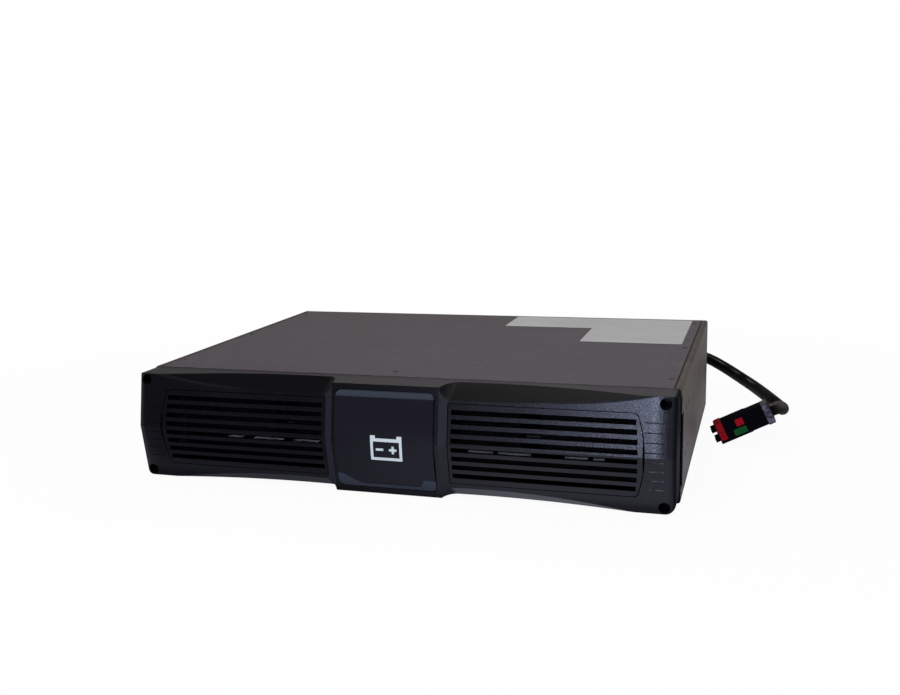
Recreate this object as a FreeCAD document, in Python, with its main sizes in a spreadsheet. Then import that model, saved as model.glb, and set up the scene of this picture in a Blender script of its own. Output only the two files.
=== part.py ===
"""Rack battery pack: a 2U steel case with a moulded front, six sealed blocks and a battery lead.

Frame: X to the right seen from the front, Y from the front to the rear, Z up. The origin is the
middle of the base, centred between the front of the centre panel and the end of the cable gland.
Lengths are in millimetres.
"""
import FreeCAD, Part
import math
import os
import Sketcher
from types import SimpleNamespace
from FreeCAD import Placement, Rotation, Vector

SIZES = {
    # Steel case
    "chassis_width": 440.0,
    "chassis_depth": 305.0,
    "chassis_height": 88.0,
    "steel_gauge": 1.2,
    "fold_radius": 2.4,
    "hem_width": 5.5,
    "ledge_width": 13.0,
    "cover_gap": 0.3,
    "front_flange": 24.0,
    "rear_flange": 14.0,
    "notch_depth": 14.0,
    "notch_low": 10.0,
    "notch_drop": 20.0,
    "ear_hole_setback": 38.0,
    "ear_hole_pitch_deep": 25.0,
    "ear_hole_low": 28.0,
    "ear_hole_pitch_high": 36.0,
    "ear_hole_radius": 2.1,
    # Top cover and its screws
    "cover_screw_inset": 10.5,
    "cover_screw_front": 30.0,
    "cover_screw_pitch": 126.5,
    "nose_screw_offset": -8.0,
    "nose_screw_setback": 17.0,
    "rail_width": 26.0,
    "rail_drop": 14.0,
    # Screws
    "screw_radius": 1.5,
    "screw_head_radius": 2.75,
    "screw_head_height": 1.9,
    "screw_length": 7.0,
    "screw_clearance": 0.1,
    # Front moulding
    "bezel_side_inset": 1.0,
    "bezel_margin": 0.4,
    "wing_edge": 27.5,
    "wing_crease": 35.0,
    "wing_wall": 2.7,
    "end_roll": 6.0,
    "low_corner": 8.0,
    "high_corner": 3.0,
    "hub_half": 43.6,
    "hub_step": 2.5,
    "hub_flank": 6.9,
    "scoop_face": 31.5,
    "scoop_run": 23.0,
    "scoop_run_low": 15.0,
    "scoop_rise": 11.0,
    "scoop_corner": 10.5,
    "scoop_radius": 780.0,
    "scoop_end_inset": 11.5,
    "cavity_inner": 46.0,
    "cavity_end_inset": 13.5,
    "corner_hole_side": 8.1,
    "corner_hole_inset": 5.2,
    "corner_hole_radius": 4.25,
    "corner_floor": 4.0,
    "groove_width": 0.8,
    "groove_depth": 0.5,
    "groove_side": 22.0,
    "groove_length": 13.5,
    # Slotted inserts
    "insert_inner": 50.5,
    "insert_side": 26.5,
    "insert_margin": 13.0,
    "insert_corner": 4.5,
    "insert_bow_radius": 90.0,
    "insert_gap": 0.6,
    "insert_rim": 1.5,
    "insert_lip": 1.6,
    "slot_count": 8,
    "slot_border": 2.6,
    "slot_share": 0.55,
    "slot_margin": 2.3,
    "slot_bow": 2.0,
    "rib_width": 1.6,
    "rib_depth": 7.0,
    # Gloss centre panel
    "panel_half": 40.0,
    "panel_margin": 5.3,
    "panel_corner": 4.5,
    "panel_gap": 0.5,
    "panel_seat": 26.5,
    "panel_edge": 3.6,
    "panel_radius": 112.0,
    "panel_bevel_low": 4.5,
    "panel_bevel_high": 2.4,
    "panel_bevel_step": 2.2,
    "panel_hollow": 3.0,
    # Retaining plate behind the inserts
    "plate_side": 15.0,
    "plate_low": 3.0,
    "plate_high": 28.6,
    "plate_gap": 0.6,
    "plate_screw_side": 19.8,
    "plate_screw_height": 21.0,
    # Sealed blocks, tray and clamps
    "side_room": 13.0,
    "wiring_depth": 48.0,
    "head_room": 20.8,
    "block_round": 2.0,
    "lid_seam": 0.6,
    "lid_height": 14.0,
    "row_setback": 8.0,
    "row_gap": 4.0,
    "block_gap": 6.0,
    "tab_gap": 16.0,
    "tab_length": 6.4,
    "tab_height": 6.35,
    "tab_gauge": 0.8,
    "tab_inset": 20.0,
    "tray_gauge": 1.0,
    "tray_side_gap": 1.8,
    "tray_lip": 18.0,
    "clamp_width": 20.0,
    "clamp_gauge": 1.2,
    "clamp_gap": 0.5,
    "clamp_foot": 8.0,
    "foam_height": 2.0,
    # Fuse
    "fuse_base_length": 62.0,
    "fuse_base_width": 22.0,
    "fuse_base_height": 6.0,
    "fuse_post": 9.0,
    "fuse_radius": 5.0,
    "fuse_inset": 130.0,
    "fuse_setback": 16.0,
    # Rear panel
    "panel_clearance": 0.5,
    "rear_return": 12.0,
    "rear_screw_inset": 8.0,
    "rear_screw_low": 14.0,
    "vent_count": 14,
    "vent_pitch": 10.0,
    "vent_width": 4.0,
    "vent_height": 44.0,
    "vent_inset": 110.0,
    # Cable gland and cable
    "gland_inset": 98.0,
    "gland_above_middle": 2.0,
    "gland_thread": 8.0,
    "gland_hex": 11.0,
    "gland_hex_length": 6.0,
    "gland_nut_length": 5.0,
    "gland_cap_radius": 10.5,
    "gland_cap_length": 18.0,
    "gland_inner": 12.0,
    "cable_diameter": 11.4,
    "cable_clearance": 0.2,
    "lead_radius": 2.2,
    "lead_swing": 20.0,
    # Chain socket
    "socket_inset": 170.0,
    "socket_above_middle": 2.0,
    "socket_mouth_width": 22.0,
    "socket_mouth_height": 23.0,
    "socket_wall": 2.5,
    "socket_flange": 6.0,
    "socket_flange_gauge": 2.5,
    "socket_depth": 24.0,
    "socket_floor": 4.0,
    # Earth stud
    "stud_inset": 42.0,
    "stud_height": 20.0,
    "stud_radius": 2.0,
    "stud_reach": 11.0,
    "stud_inner": 6.0,
    "stud_collar_radius": 4.5,
    "stud_collar": 1.5,
    "stud_nut": 3.5,
    "stud_nut_gap": 0.1,
    # Connector on the cable
    "connector_beside": 21.8,
    "connector_ahead": 129.6,
    "connector_turn": 7.2,
    "connector_rise": 25.8,
    "connector_side": 18.4,
    "frame_length": 29.0,
    "frame_round": 1.0,
    "pole_proud": 0.3,
    "front_pole_at": 0.8,
    "front_pole_length": 5.9,
    "front_pole_floor": 3.0,
    "front_pole_web": 0.3,
    "rear_pole_at": 17.8,
    "rear_pole_length": 6.9,
    "rear_pole_roof": 2.0,
    "rear_pole_height": 6.6,
    "earth_pole_at": 13.4,
    "earth_pole_length": 11.6,
    "earth_pole_floor": 2.4,
    "earth_pole_height": 5.8,
    "tongue_length": 4.0,
    "tongue_side": 3.6,
    "sleeve_length": 20.6,
    "sleeve_taper": 0.5,
    "sleeve_round": 3.0,
    "band_at": 14.6,
    "band_length": 5.8,
    "band_gauge": 0.25,
}

doc = FreeCAD.newDocument("battery_pack")


class Size:
    """A length or count: its value and the sheet expression that gives it."""

    def __init__(self, value, text):
        self.value = float(value)
        self.text = text

    def __add__(self, other):
        other = as_size(other)
        return Size(self.value + other.value, f"({self.text} + {other.text})")

    def __radd__(self, other):
        return as_size(other) + self

    def __sub__(self, other):
        other = as_size(other)
        return Size(self.value - other.value, f"({self.text} - {other.text})")

    def __rsub__(self, other):
        return as_size(other) - self

    def __mul__(self, other):
        other = as_size(other)
        return Size(self.value * other.value, f"({self.text} * {other.text})")

    def __rmul__(self, other):
        return as_size(other) * self

    def __truediv__(self, other):
        other = as_size(other)
        return Size(self.value / other.value, f"({self.text} / {other.text})")

    def __neg__(self):
        return Size(-self.value, f"(-1 * {self.text})")

    def root(self):
        """Square root."""
        return Size(math.sqrt(self.value), f"sqrt({self.text})")


def as_size(item):
    """A plain number is a size of its own."""
    return item if isinstance(item, Size) else Size(item, repr(float(item)))


def make_sheet(sizes):
    """Put the driving sizes in the sheet and give each one back by name."""
    sheet = doc.addObject("Spreadsheet::Sheet", "Sizes")
    for row, (name, value) in enumerate(sizes.items(), 1):
        sheet.set(f"A{row}", name)
        sheet.set(f"B{row}", str(value))
        sheet.setAlias(f"B{row}", name)
    doc.recompute()
    return SimpleNamespace(**{name: Size(value, f"Sizes.{name}") for name, value in sizes.items()})


dim = make_sheet(SIZES)

# Places that several pieces share
gauge = dim.steel_gauge
half = dim.chassis_width / 2
top = dim.chassis_height
middle = dim.chassis_height / 2
bezel_half = half - dim.bezel_side_inset
panel_height = top - 2 * dim.panel_margin
insert_outer = bezel_half - dim.insert_side
insert_height = top - 2 * dim.insert_margin
slot_pitch = (insert_height - 2 * dim.slot_border) / dim.slot_count
slot_height = dim.slot_share * slot_pitch
plate_screw_x = half - dim.plate_screw_side
gland_x = half - dim.gland_inset
gland_z = middle + dim.gland_above_middle
stud_x = half - dim.stud_inset
socket_x = half - dim.socket_inset
socket_z = middle + dim.socket_above_middle
bow_half = (panel_height - dim.panel_bevel_low - dim.panel_bevel_high) / 2
bow_rise = dim.panel_radius - (dim.panel_radius * dim.panel_radius - bow_half * bow_half).root()
nose = dim.panel_seat + dim.panel_edge + dim.panel_bevel_step + bow_rise
rear_reach = dim.gland_hex_length + dim.gland_cap_length
front = (nose - dim.chassis_depth - rear_reach) / 2
rear = front + dim.chassis_depth
bezel_low = dim.bezel_margin
bezel_high = top - dim.bezel_margin
wing_slope = (dim.wing_crease - dim.wing_edge) / (middle - bezel_low)
block_base = gauge + dim.tray_gauge
block_width = (dim.chassis_width - 2 * dim.side_room - 2 * dim.tab_gap - dim.block_gap) / 4
block_length = dim.chassis_depth - dim.row_setback - dim.row_gap - block_width - dim.wiring_depth
block_height = top - block_base - dim.head_room
block_top = block_base + block_height
front_row = front + dim.row_setback
rear_row = front_row + block_length + dim.row_gap
wiring_room = rear_row + block_width + dim.tab_length
nodes = []


def bind(thing, **expressions):
    """Tie properties of a piece to sheet expressions; a double underscore is a dot."""
    for name, item in expressions.items():
        thing.setExpression(name.replace("__", "."), as_size(item).text)


def keep(piece, name):
    """List a finished piece under the name of its node."""
    piece.Label = name
    nodes.append((name, piece))
    return piece


# Sketched bodies

PLANE_SIDE = {"XY": 1, "XZ": -1, "YZ": 1}


def new_body(name):
    """An empty body that will be the node of this name."""
    return keep(doc.addObject("PartDesign::Body", name), name)


def circle(x, y, radius):
    """A round outline."""
    return SimpleNamespace(x=as_size(x), y=as_size(y), radius=as_size(radius))


def rectangle(x_low, y_low, x_high, y_high):
    """Corners of an upright rectangle."""
    return [(x_low, y_low), (x_high, y_low), (x_high, y_high), (x_low, y_high)]


def mirrored(corners):
    """The outline's other half appended, mirrored about the vertical axis."""
    return corners + [(-as_size(x), y) for x, y in reversed(corners)]


def round_rectangle(x_low, y_low, x_high, y_high, radius):
    """Corners of a rectangle whose corners are arcs."""
    return [
        (x_low + radius, y_low), (x_high - radius, y_low, radius),
        (x_high, y_low + radius), (x_high, y_high - radius, radius),
        (x_high - radius, y_high), (x_low + radius, y_high, radius),
        (x_low, y_high - radius), (x_low, y_low + radius, radius),
    ]


def tie_point(sketch, geometry, position, x, y):
    """Hold one point of a sketch at sheet sizes from the sketch's origin."""
    for kind, item in (("DistanceX", x), ("DistanceY", y)):
        index = sketch.addConstraint(Sketcher.Constraint(kind, -1, 1, geometry, position, item.value))
        sketch.setExpression(f"Constraints[{index}]", item.text)


def arc_between(start, end, radius):
    """Arc of the shorter way round: centre on the left of travel, or on the right if negative."""
    chord = end - start
    reach = math.sqrt(radius * radius - chord.Length * chord.Length / 4)
    left = Vector(-chord.y, chord.x, 0).normalize()
    centre = (start + end) * 0.5 + left * math.copysign(reach, radius)
    first, last = (start, end) if radius > 0 else (end, start)
    low = math.atan2(first.y - centre.y, first.x - centre.x)
    high = math.atan2(last.y - centre.y, last.x - centre.x)
    return Part.ArcOfCircle(Part.Circle(centre, Vector(0, 0, 1), abs(radius)), low, high)


def draw_outline(sketch, corners):
    """Closed outline; a corner's third entry is the radius of the arc that leaves it."""
    spots = [(as_size(corner[0]), as_size(corner[1])) for corner in corners]
    points = [Vector(x.value, y.value, 0) for x, y in spots]
    sides = []
    for index, corner in enumerate(corners):
        start, end = points[index], points[(index + 1) % len(points)]
        if len(corner) == 2:
            geometry = sketch.addGeometry(Part.LineSegment(start, end))
            sides.append((geometry, 1, 2))
            continue
        radius = as_size(corner[2])
        geometry = sketch.addGeometry(arc_between(start, end, radius.value))
        sides.append((geometry, 1, 2) if radius.value > 0 else (geometry, 2, 1))
        size = radius if radius.value > 0 else -radius
        index = sketch.addConstraint(Sketcher.Constraint("Radius", geometry, size.value))
        sketch.setExpression(f"Constraints[{index}]", size.text)
    for index, (geometry, _, end) in enumerate(sides):
        following, start, _ = sides[(index + 1) % len(sides)]
        sketch.addConstraint(Sketcher.Constraint("Coincident", geometry, end, following, start))
    for (geometry, start, _), (x, y) in zip(sides, spots):
        tie_point(sketch, geometry, start, x, y)


def draw_circle(sketch, outline):
    """Circle with its centre and radius tied to the sheet."""
    centre = Vector(outline.x.value, outline.y.value, 0)
    geometry = sketch.addGeometry(Part.Circle(centre, Vector(0, 0, 1), outline.radius.value))
    index = sketch.addConstraint(Sketcher.Constraint("Radius", geometry, outline.radius.value))
    sketch.setExpression(f"Constraints[{index}]", outline.radius.text)
    tie_point(sketch, geometry, 3, outline.x, outline.y)


def new_sketch(body, plane, place, outlines):
    """Sketch on one of the body's planes, moved to a place along that plane's axis."""
    sketch = body.newObject("Sketcher::SketchObject", "outline")
    support = next(item for item in body.Origin.OriginFeatures if item.Role == f"{plane}_Plane")
    sketch.AttachmentSupport = [(support, "")]
    sketch.MapMode = "FlatFace"
    bind(sketch, AttachmentOffset__Base__z=PLANE_SIDE[plane] * as_size(place))
    for outline in outlines:
        if isinstance(outline, SimpleNamespace):
            draw_circle(sketch, outline)
        else:
            draw_outline(sketch, outline)
    return sketch


def lean(feature, slant):
    """Turn an extrusion away from its sketch's normal, its length still along that normal."""
    feature.UseCustomVector = True
    feature.AlongSketchNormal = True
    bind(feature, Direction__x=slant[0], Direction__y=slant[1], Direction__z=slant[2])


def pad(body, plane, place, outlines, length, toward=1, slant=None):
    """Add the outlines' prism, along the axis (1) or against it (-1)."""
    sketch = new_sketch(body, plane, place, outlines)
    feature = body.newObject("PartDesign::Pad", "prism")
    feature.Profile = sketch
    bind(feature, Length=length)
    feature.Reversed = toward != PLANE_SIDE[plane]
    if slant:
        feature.Reversed = False
        lean(feature, slant)
    return feature


def pocket(body, plane, place, outlines, length, toward=1, slant=None):
    """Take the outlines' prism away, along the axis (1) or against it (-1)."""
    sketch = new_sketch(body, plane, place, outlines)
    feature = body.newObject("PartDesign::Pocket", "cut")
    feature.Profile = sketch
    bind(feature, Length=length)
    feature.Reversed = toward == PLANE_SIDE[plane]
    if slant:
        feature.Reversed = False
        lean(feature, slant)
    return feature


def dress_edges(body, kind, size, wanted):
    """Round or bevel the edges of the body that pass a test."""
    doc.recompute()
    base = body.Tip
    names = [f"Edge{index}" for index, edge in enumerate(base.Shape.Edges, 1) if wanted(edge)]
    feature = body.newObject(f"PartDesign::{kind}", kind.lower())
    feature.Base = (base, names)
    bind(feature, **{"Radius" if kind == "Fillet" else "Size": size})
    return feature


def runs_along(edge, axis):
    """True for a straight edge along an axis (0, 1 or 2)."""
    if not isinstance(edge.Curve, Part.Line):
        return False
    return abs(abs(edge.Curve.Direction[axis]) - 1) < 1e-6


def near(value, item):
    """True where a coordinate is at a size."""
    return abs(value - as_size(item).value) < 0.01


# Plain solids and groups

def block(x, y, z, length, width, height):
    """Box from its lowest corner."""
    piece = doc.addObject("Part::Box", "block")
    bind(piece, Length=length, Width=width, Height=height)
    bind(piece, Placement__Base__x=x, Placement__Base__y=y, Placement__Base__z=z)
    return piece


TURNS = {
    "x": Rotation(Vector(0, 1, 0), 90),
    "y": Rotation(Vector(1, 0, 0), -90),
    "z": Rotation(),
}


def rod(x, y, z, axis, radius, length):
    """Cylinder from the middle of its first end."""
    piece = doc.addObject("Part::Cylinder", "rod")
    piece.Placement = Placement(Vector(), TURNS[axis])
    bind(piece, Radius=radius, Height=length)
    bind(piece, Placement__Base__x=x, Placement__Base__y=y, Placement__Base__z=z)
    return piece


def taper(x, y, z, axis, first, last, length):
    """Cone from the middle of its first end."""
    piece = doc.addObject("Part::Cone", "taper")
    piece.Placement = Placement(Vector(), TURNS[axis])
    bind(piece, Radius1=first, Radius2=last, Height=length)
    bind(piece, Placement__Base__x=x, Placement__Base__y=y, Placement__Base__z=z)
    return piece


def hexagon(x, y, z, axis, radius, length):
    """Six-sided prism from the middle of its first end."""
    piece = doc.addObject("Part::Prism", "hexagon")
    piece.Polygon = 6
    piece.Placement = Placement(Vector(), TURNS[axis])
    bind(piece, Circumradius=radius, Height=length)
    bind(piece, Placement__Base__x=x, Placement__Base__y=y, Placement__Base__z=z)
    return piece


def fuse(*pieces):
    """One solid from several that meet."""
    piece = doc.addObject("Part::MultiFuse", "joined")
    piece.Shapes = list(pieces)
    piece.Refine = True
    return piece


def cut(base, *tools):
    """A solid with others taken out of it."""
    piece = doc.addObject("Part::Cut", "cut")
    piece.Base = base
    piece.Tool = tools[0] if len(tools) == 1 else fuse(*tools)
    piece.Refine = True
    return piece


def group(name, pieces):
    """Separate like solids under one node."""
    piece = doc.addObject("Part::Compound", name)
    piece.Links = pieces
    return keep(piece, name)


def pan_screw(x, y, z, axis, way):
    """Pan-head screw: the head's seat at a point, the shank along the axis (1) or against it (-1)."""
    offset = {"x": (1, 0, 0), "y": (0, 1, 0), "z": (0, 0, 1)}[axis]
    head_back = -dim.screw_head_height if way > 0 else as_size(0)
    shank_back = as_size(0) if way > 0 else -dim.screw_length
    parts = []
    for back, radius, length in (
        (head_back, dim.screw_head_radius, dim.screw_head_height),
        (shank_back, dim.screw_radius, dim.screw_length),
    ):
        spot = [place + back * step for place, step in zip((x, y, z), offset)]
        parts.append(rod(*spot, axis, radius, length))
    return fuse(*parts)


# Steel case

def cover_screw_places():
    """Plan positions of the cover's screws: three down each side and one behind the hub."""
    inset = half - dim.cover_screw_inset
    places = []
    for index in range(3):
        y = front + dim.cover_screw_front + index * dim.cover_screw_pitch
        places += [(-inset, y), (inset, y)]
    return places + [(dim.nose_screw_offset, front + dim.nose_screw_setback)]


def corner_places():
    """Front-view positions of the moulding's four screws."""
    low = bezel_low + dim.corner_hole_inset
    high = bezel_high - dim.corner_hole_inset
    return [(side * (bezel_half - dim.corner_hole_side), z) for side in (-1, 1) for z in (low, high)]


def rear_screw_places():
    """Rear-view positions of the rear panel's screws."""
    x = half - dim.rear_screw_inset
    low = dim.rear_screw_low
    return [(side * x, z) for side in (-1, 1) for z in (low, top - low)]


def make_chassis():
    """Folded case: base, side walls, hems with a ledge under the cover, front and rear flanges."""
    body = new_body("chassis_tray")
    inner = half - gauge
    hem = half - dim.hem_width
    ledge = hem - dim.ledge_width
    profile = mirrored([
        (half, 0), (half, top), (hem, top), (hem, top - gauge), (ledge, top - gauge),
        (ledge, top - 2 * gauge), (hem + gauge, top - 2 * gauge), (hem + gauge, top - gauge),
        (inner, top - gauge), (inner, gauge),
    ])
    pad(body, "XZ", front, [profile], dim.chassis_depth)

    def outer_fold(edge):
        spot = edge.BoundBox.Center
        return runs_along(edge, 1) and near(abs(spot.x), half)

    def inner_fold(edge):
        spot = edge.BoundBox.Center
        return runs_along(edge, 1) and near(abs(spot.x), inner)

    dress_edges(body, "Fillet", dim.fold_radius, outer_fold)
    dress_edges(body, "Fillet", dim.fold_radius - gauge, inner_fold)
    for place, width in ((front, dim.front_flange), (rear - 2 * gauge, dim.rear_flange)):
        flanges = [
            rectangle(side * inner, gauge, side * (half - width), top - 2 * gauge) for side in (-1, 1)
        ]
        pad(body, "XZ", place, flanges, gauge)
    notch = rectangle(front - gauge, dim.notch_low, front + dim.notch_depth, top - dim.notch_drop)
    for side in (-1, 1):
        pocket(body, "YZ", side * inner, [notch], 2 * gauge, toward=side)
    thread = dim.screw_radius + dim.screw_clearance
    flange_holes = [circle(x, z, thread) for x, z in corner_places()]
    flange_holes += [circle(side * plate_screw_x, dim.plate_screw_height, thread) for side in (-1, 1)]
    pocket(body, "XZ", front - gauge, flange_holes, 3 * gauge)
    rear_holes = [circle(x, z, thread) for x, z in rear_screw_places()]
    pocket(body, "XZ", rear + gauge, rear_holes, 5 * gauge, toward=-1)
    ear_holes = [
        circle(
            front + dim.ear_hole_setback + column * dim.ear_hole_pitch_deep,
            dim.ear_hole_low + row * dim.ear_hole_pitch_high,
            dim.ear_hole_radius,
        )
        for column in (0, 1) for row in (0, 1)
    ]
    pocket(body, "YZ", -half - gauge, [*ear_holes], dim.chassis_width + 2 * gauge)
    ledge_holes = [circle(x, y, thread) for x, y in cover_screw_places()[:-1]]
    pocket(body, "XY", top, ledge_holes, 4 * gauge, toward=-1)


def make_front_rail():
    """Folded angle across the front between the two ledges, under the cover's front edge."""
    body = new_body("front_rail")
    reach = half - dim.hem_width - dim.ledge_width
    start = front + gauge
    profile = [
        (start, top - gauge), (start, top - dim.rail_drop), (start + gauge, top - dim.rail_drop),
        (start + gauge, top - 2 * gauge), (start + dim.rail_width, top - 2 * gauge),
        (start + dim.rail_width, top - gauge),
    ]
    pad(body, "YZ", -reach, [profile], 2 * reach)
    x, y = cover_screw_places()[-1]
    thread = dim.screw_radius + dim.screw_clearance
    pocket(body, "XY", top, [circle(x, y, thread)], 4 * gauge, toward=-1)


def make_cover():
    """Flat cover with countersunk holes, lying on the ledges between the hems."""
    body = new_body("top_cover")
    reach = half - dim.hem_width - dim.cover_gap
    pad(body, "XY", top - gauge, [rectangle(-reach, front, reach, rear)], gauge)
    clear = dim.screw_radius + dim.screw_clearance
    pocket(body, "XY", top, [circle(x, y, clear) for x, y in cover_screw_places()], gauge, toward=-1)

    def rim(edge):
        return isinstance(edge.Curve, Part.Circle) and near(edge.BoundBox.ZMin, top)

    dress_edges(body, "Chamfer", gauge - dim.screw_clearance, rim)


def make_cover_screws():
    """Countersunk screws, flush with the cover."""
    screws = []
    sink = gauge - dim.screw_clearance
    for x, y in cover_screw_places():
        head = taper(x, y, top - sink, "z", dim.screw_radius, dim.screw_radius + sink, sink)
        shank = rod(x, y, top - dim.screw_length, "z", dim.screw_radius, dim.screw_length - sink)
        screws.append(fuse(head, shank))
    group("cover_screws", screws)


def make_rear_panel():
    """Rear plate on the flanges, with a top return under the cover, vents and cut-outs."""
    body = new_body("rear_panel")
    reach = half - gauge - dim.panel_clearance
    low = gauge + dim.panel_clearance
    high = top - gauge
    pad(body, "XZ", rear - gauge, [rectangle(-reach, low, reach, high - gauge)], gauge)
    shelf = half - dim.hem_width - dim.ledge_width - dim.panel_clearance
    pad(body, "XZ", rear - dim.rear_return, [rectangle(-shelf, high - gauge, shelf, high)], dim.rear_return)
    vents = []
    for index in range(int(dim.vent_count.value)):
        x = dim.vent_inset - half + (index - (dim.vent_count.value - 1) / 2) * dim.vent_pitch
        vents.append(rectangle(
            x - dim.vent_width / 2, middle - dim.vent_height / 2,
            x + dim.vent_width / 2, middle + dim.vent_height / 2,
        ))
    pocket(body, "XZ", rear + gauge, vents, 3 * gauge, toward=-1)
    wide = dim.socket_mouth_width / 2 + dim.socket_wall + dim.panel_clearance
    tall = dim.socket_mouth_height / 2 + dim.socket_wall + dim.panel_clearance
    openings = [
        circle(gland_x, gland_z, dim.gland_thread + dim.panel_clearance),
        circle(stud_x, dim.stud_height, dim.stud_radius + dim.panel_clearance),
        rectangle(
            socket_x - wide, socket_z - tall, socket_x + wide, socket_z + tall,
        ),
    ]
    clear = dim.screw_radius + dim.screw_clearance
    openings += [circle(x, z, clear) for x, z in rear_screw_places()]
    pocket(body, "XZ", rear + gauge, openings, 3 * gauge, toward=-1)


# Front moulding

def insert_outline(side, grow):
    """Front view of a slotted insert: square at the hub, bowed with round corners outside."""
    inner = dim.insert_inner - grow
    outer = insert_outer + grow
    low = middle - insert_height / 2 - grow
    high = middle + insert_height / 2 + grow
    corner = dim.insert_corner
    bow = dim.insert_bow_radius
    points = [
        (inner, low), (outer - corner, low, corner), (outer, low + corner, bow),
        (outer, high - corner, corner), (outer - corner, high), (inner, high),
    ]
    if side > 0:
        return points
    return [(-point[0], point[1], *(-size for size in point[2:])) for point in points]


def scoop_outline(side, way):
    """Front view of a scoop: quarter arc at the hub, then one long arc that rises to the edge."""
    edge = bezel_high if way > 0 else bezel_low
    start = dim.hub_half
    end = bezel_half - dim.scoop_end_inset
    corner = dim.scoop_corner
    clear = 3 * dim.scoop_corner
    points = [
        (start, edge, corner), (start + corner, edge - way * corner, dim.scoop_radius),
        (end, edge), (end, edge + way * clear), (start, edge + way * clear),
    ]
    turn = side * way
    return [(side * point[0], point[1], *(turn * size for size in point[2:])) for point in points]


def face_depth(z):
    """How far the creased wing stands in front of the case at a height."""
    away = z - middle if as_size(z).value > middle.value else middle - z
    return dim.wing_crease - wing_slope * away


def slanted_half(body, make, way, outline):
    """Plan outline at the crease, run up (1) or down (-1) parallel to the creased face."""
    make(body, "XY", middle, [outline], middle - bezel_low, slant=(0, wing_slope, way))


def make_bezel():
    """Moulded front: creased wings, hub, four scoops, windows, panel recess and screw wells."""
    body = new_body("front_bezel")
    reach = bezel_half
    profile = [
        (front, bezel_low), (front - dim.wing_edge, bezel_low), (front - dim.wing_crease, middle),
        (front - dim.wing_edge, bezel_high), (front, bezel_high),
    ]
    pad(body, "YZ", -reach, [profile], 2 * reach)
    roll = dim.end_roll
    crest = front - dim.wing_crease
    for side in (-1, 1):
        corner = [
            (side * (reach - roll), crest, side * roll), (side * reach, crest + roll),
            (side * (reach + 1), crest + roll), (side * (reach + 1), crest - roll),
            (side * (reach - roll), crest - roll),
        ]
        for way in (-1, 1):
            slanted_half(body, pocket, way, corner)
        for way, radius in ((-1, dim.low_corner), (1, dim.high_corner)):
            edge = bezel_high if way > 0 else bezel_low
            nick = [
                (side * (reach - radius), edge, -side * way * radius), (side * reach, edge - way * radius),
                (side * (reach + 1), edge - way * radius), (side * (reach + 1), edge + way),
                (side * (reach - radius), edge + way),
            ]
            pocket(body, "XZ", front + 1, [nick], dim.wing_crease + 2, toward=-1)
    hub = [
        (dim.hub_half + dim.hub_flank, crest + 1), (dim.hub_half + dim.hub_flank, crest),
        (dim.hub_half, crest - dim.hub_step),
    ]
    for way in (-1, 1):
        slanted_half(body, pad, way, mirrored(hub))
    for way, run in ((-1, dim.scoop_run_low), (1, dim.scoop_run)):
        rise = dim.scoop_rise / run
        ahead = run + 1
        start = front - dim.scoop_face - ahead
        for side in (-1, 1):
            outline = [
                (x, z - way * rise * ahead, *sizes) for x, z, *sizes in scoop_outline(side, way)
            ]
            pocket(body, "XZ", start, [outline], 2 * ahead, slant=(0, 1, way * rise))
    wall = dim.wing_wall
    shelf = bezel_high - wall
    shoulder = middle + insert_height / 2 + dim.insert_lip + dim.insert_gap

    def roof(run):
        """Line of the hollow behind a scoop, from the case to the shoulder of the window."""
        return [
            (front + 1, shelf), (front - dim.scoop_face + run + wall / 2, shelf),
            (front - face_depth(shoulder) + wall, shoulder),
        ]

    low_half = [(y, top - z) for y, z in reversed(roof(dim.scoop_run_low))]
    cavity = [*roof(dim.scoop_run), (crest + wall, middle), *low_half]
    length = bezel_half - dim.cavity_end_inset - dim.cavity_inner
    for side in (-1, 1):
        pocket(body, "YZ", side * dim.cavity_inner, [cavity], length, toward=side)
        pocket(body, "XZ", front + 1, [insert_outline(side, dim.insert_gap)], nose, toward=-1)
    gap = dim.panel_gap
    recess = panel_outline(gap)
    pocket(body, "XZ", front - dim.panel_seat, [recess], nose, toward=-1)
    hollow = dim.panel_half - 2 * dim.panel_corner
    pocket(body, "XZ", front, [rectangle(-hollow, middle - hollow, hollow, middle + hollow)],
           dim.panel_seat - wall, toward=-1)
    wells = [circle(x, z, dim.corner_hole_radius) for x, z in corner_places()]
    pocket(body, "XZ", front - dim.corner_floor, wells, nose, toward=-1)
    clear = dim.screw_radius + dim.screw_clearance
    pocket(body, "XZ", front, [circle(x, z, clear) for x, z in corner_places()], nose, toward=-1)
    grooves = []
    for index in range(int(dim.slot_count.value)):
        z = slot_height_at(index)
        face = front - face_depth(z)
        tall = dim.groove_width / 2
        grooves.append(rectangle(face - 1, z - tall, face + dim.groove_depth, z + tall))
    for side in (-1, 1):
        pocket(body, "YZ", side * (bezel_half - dim.groove_side), grooves, dim.groove_length, toward=side)


def slot_height_at(index):
    """Height of the middle of a slot, counted from the lowest."""
    return middle + (index - (dim.slot_count.value - 1) / 2) * slot_pitch


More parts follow.
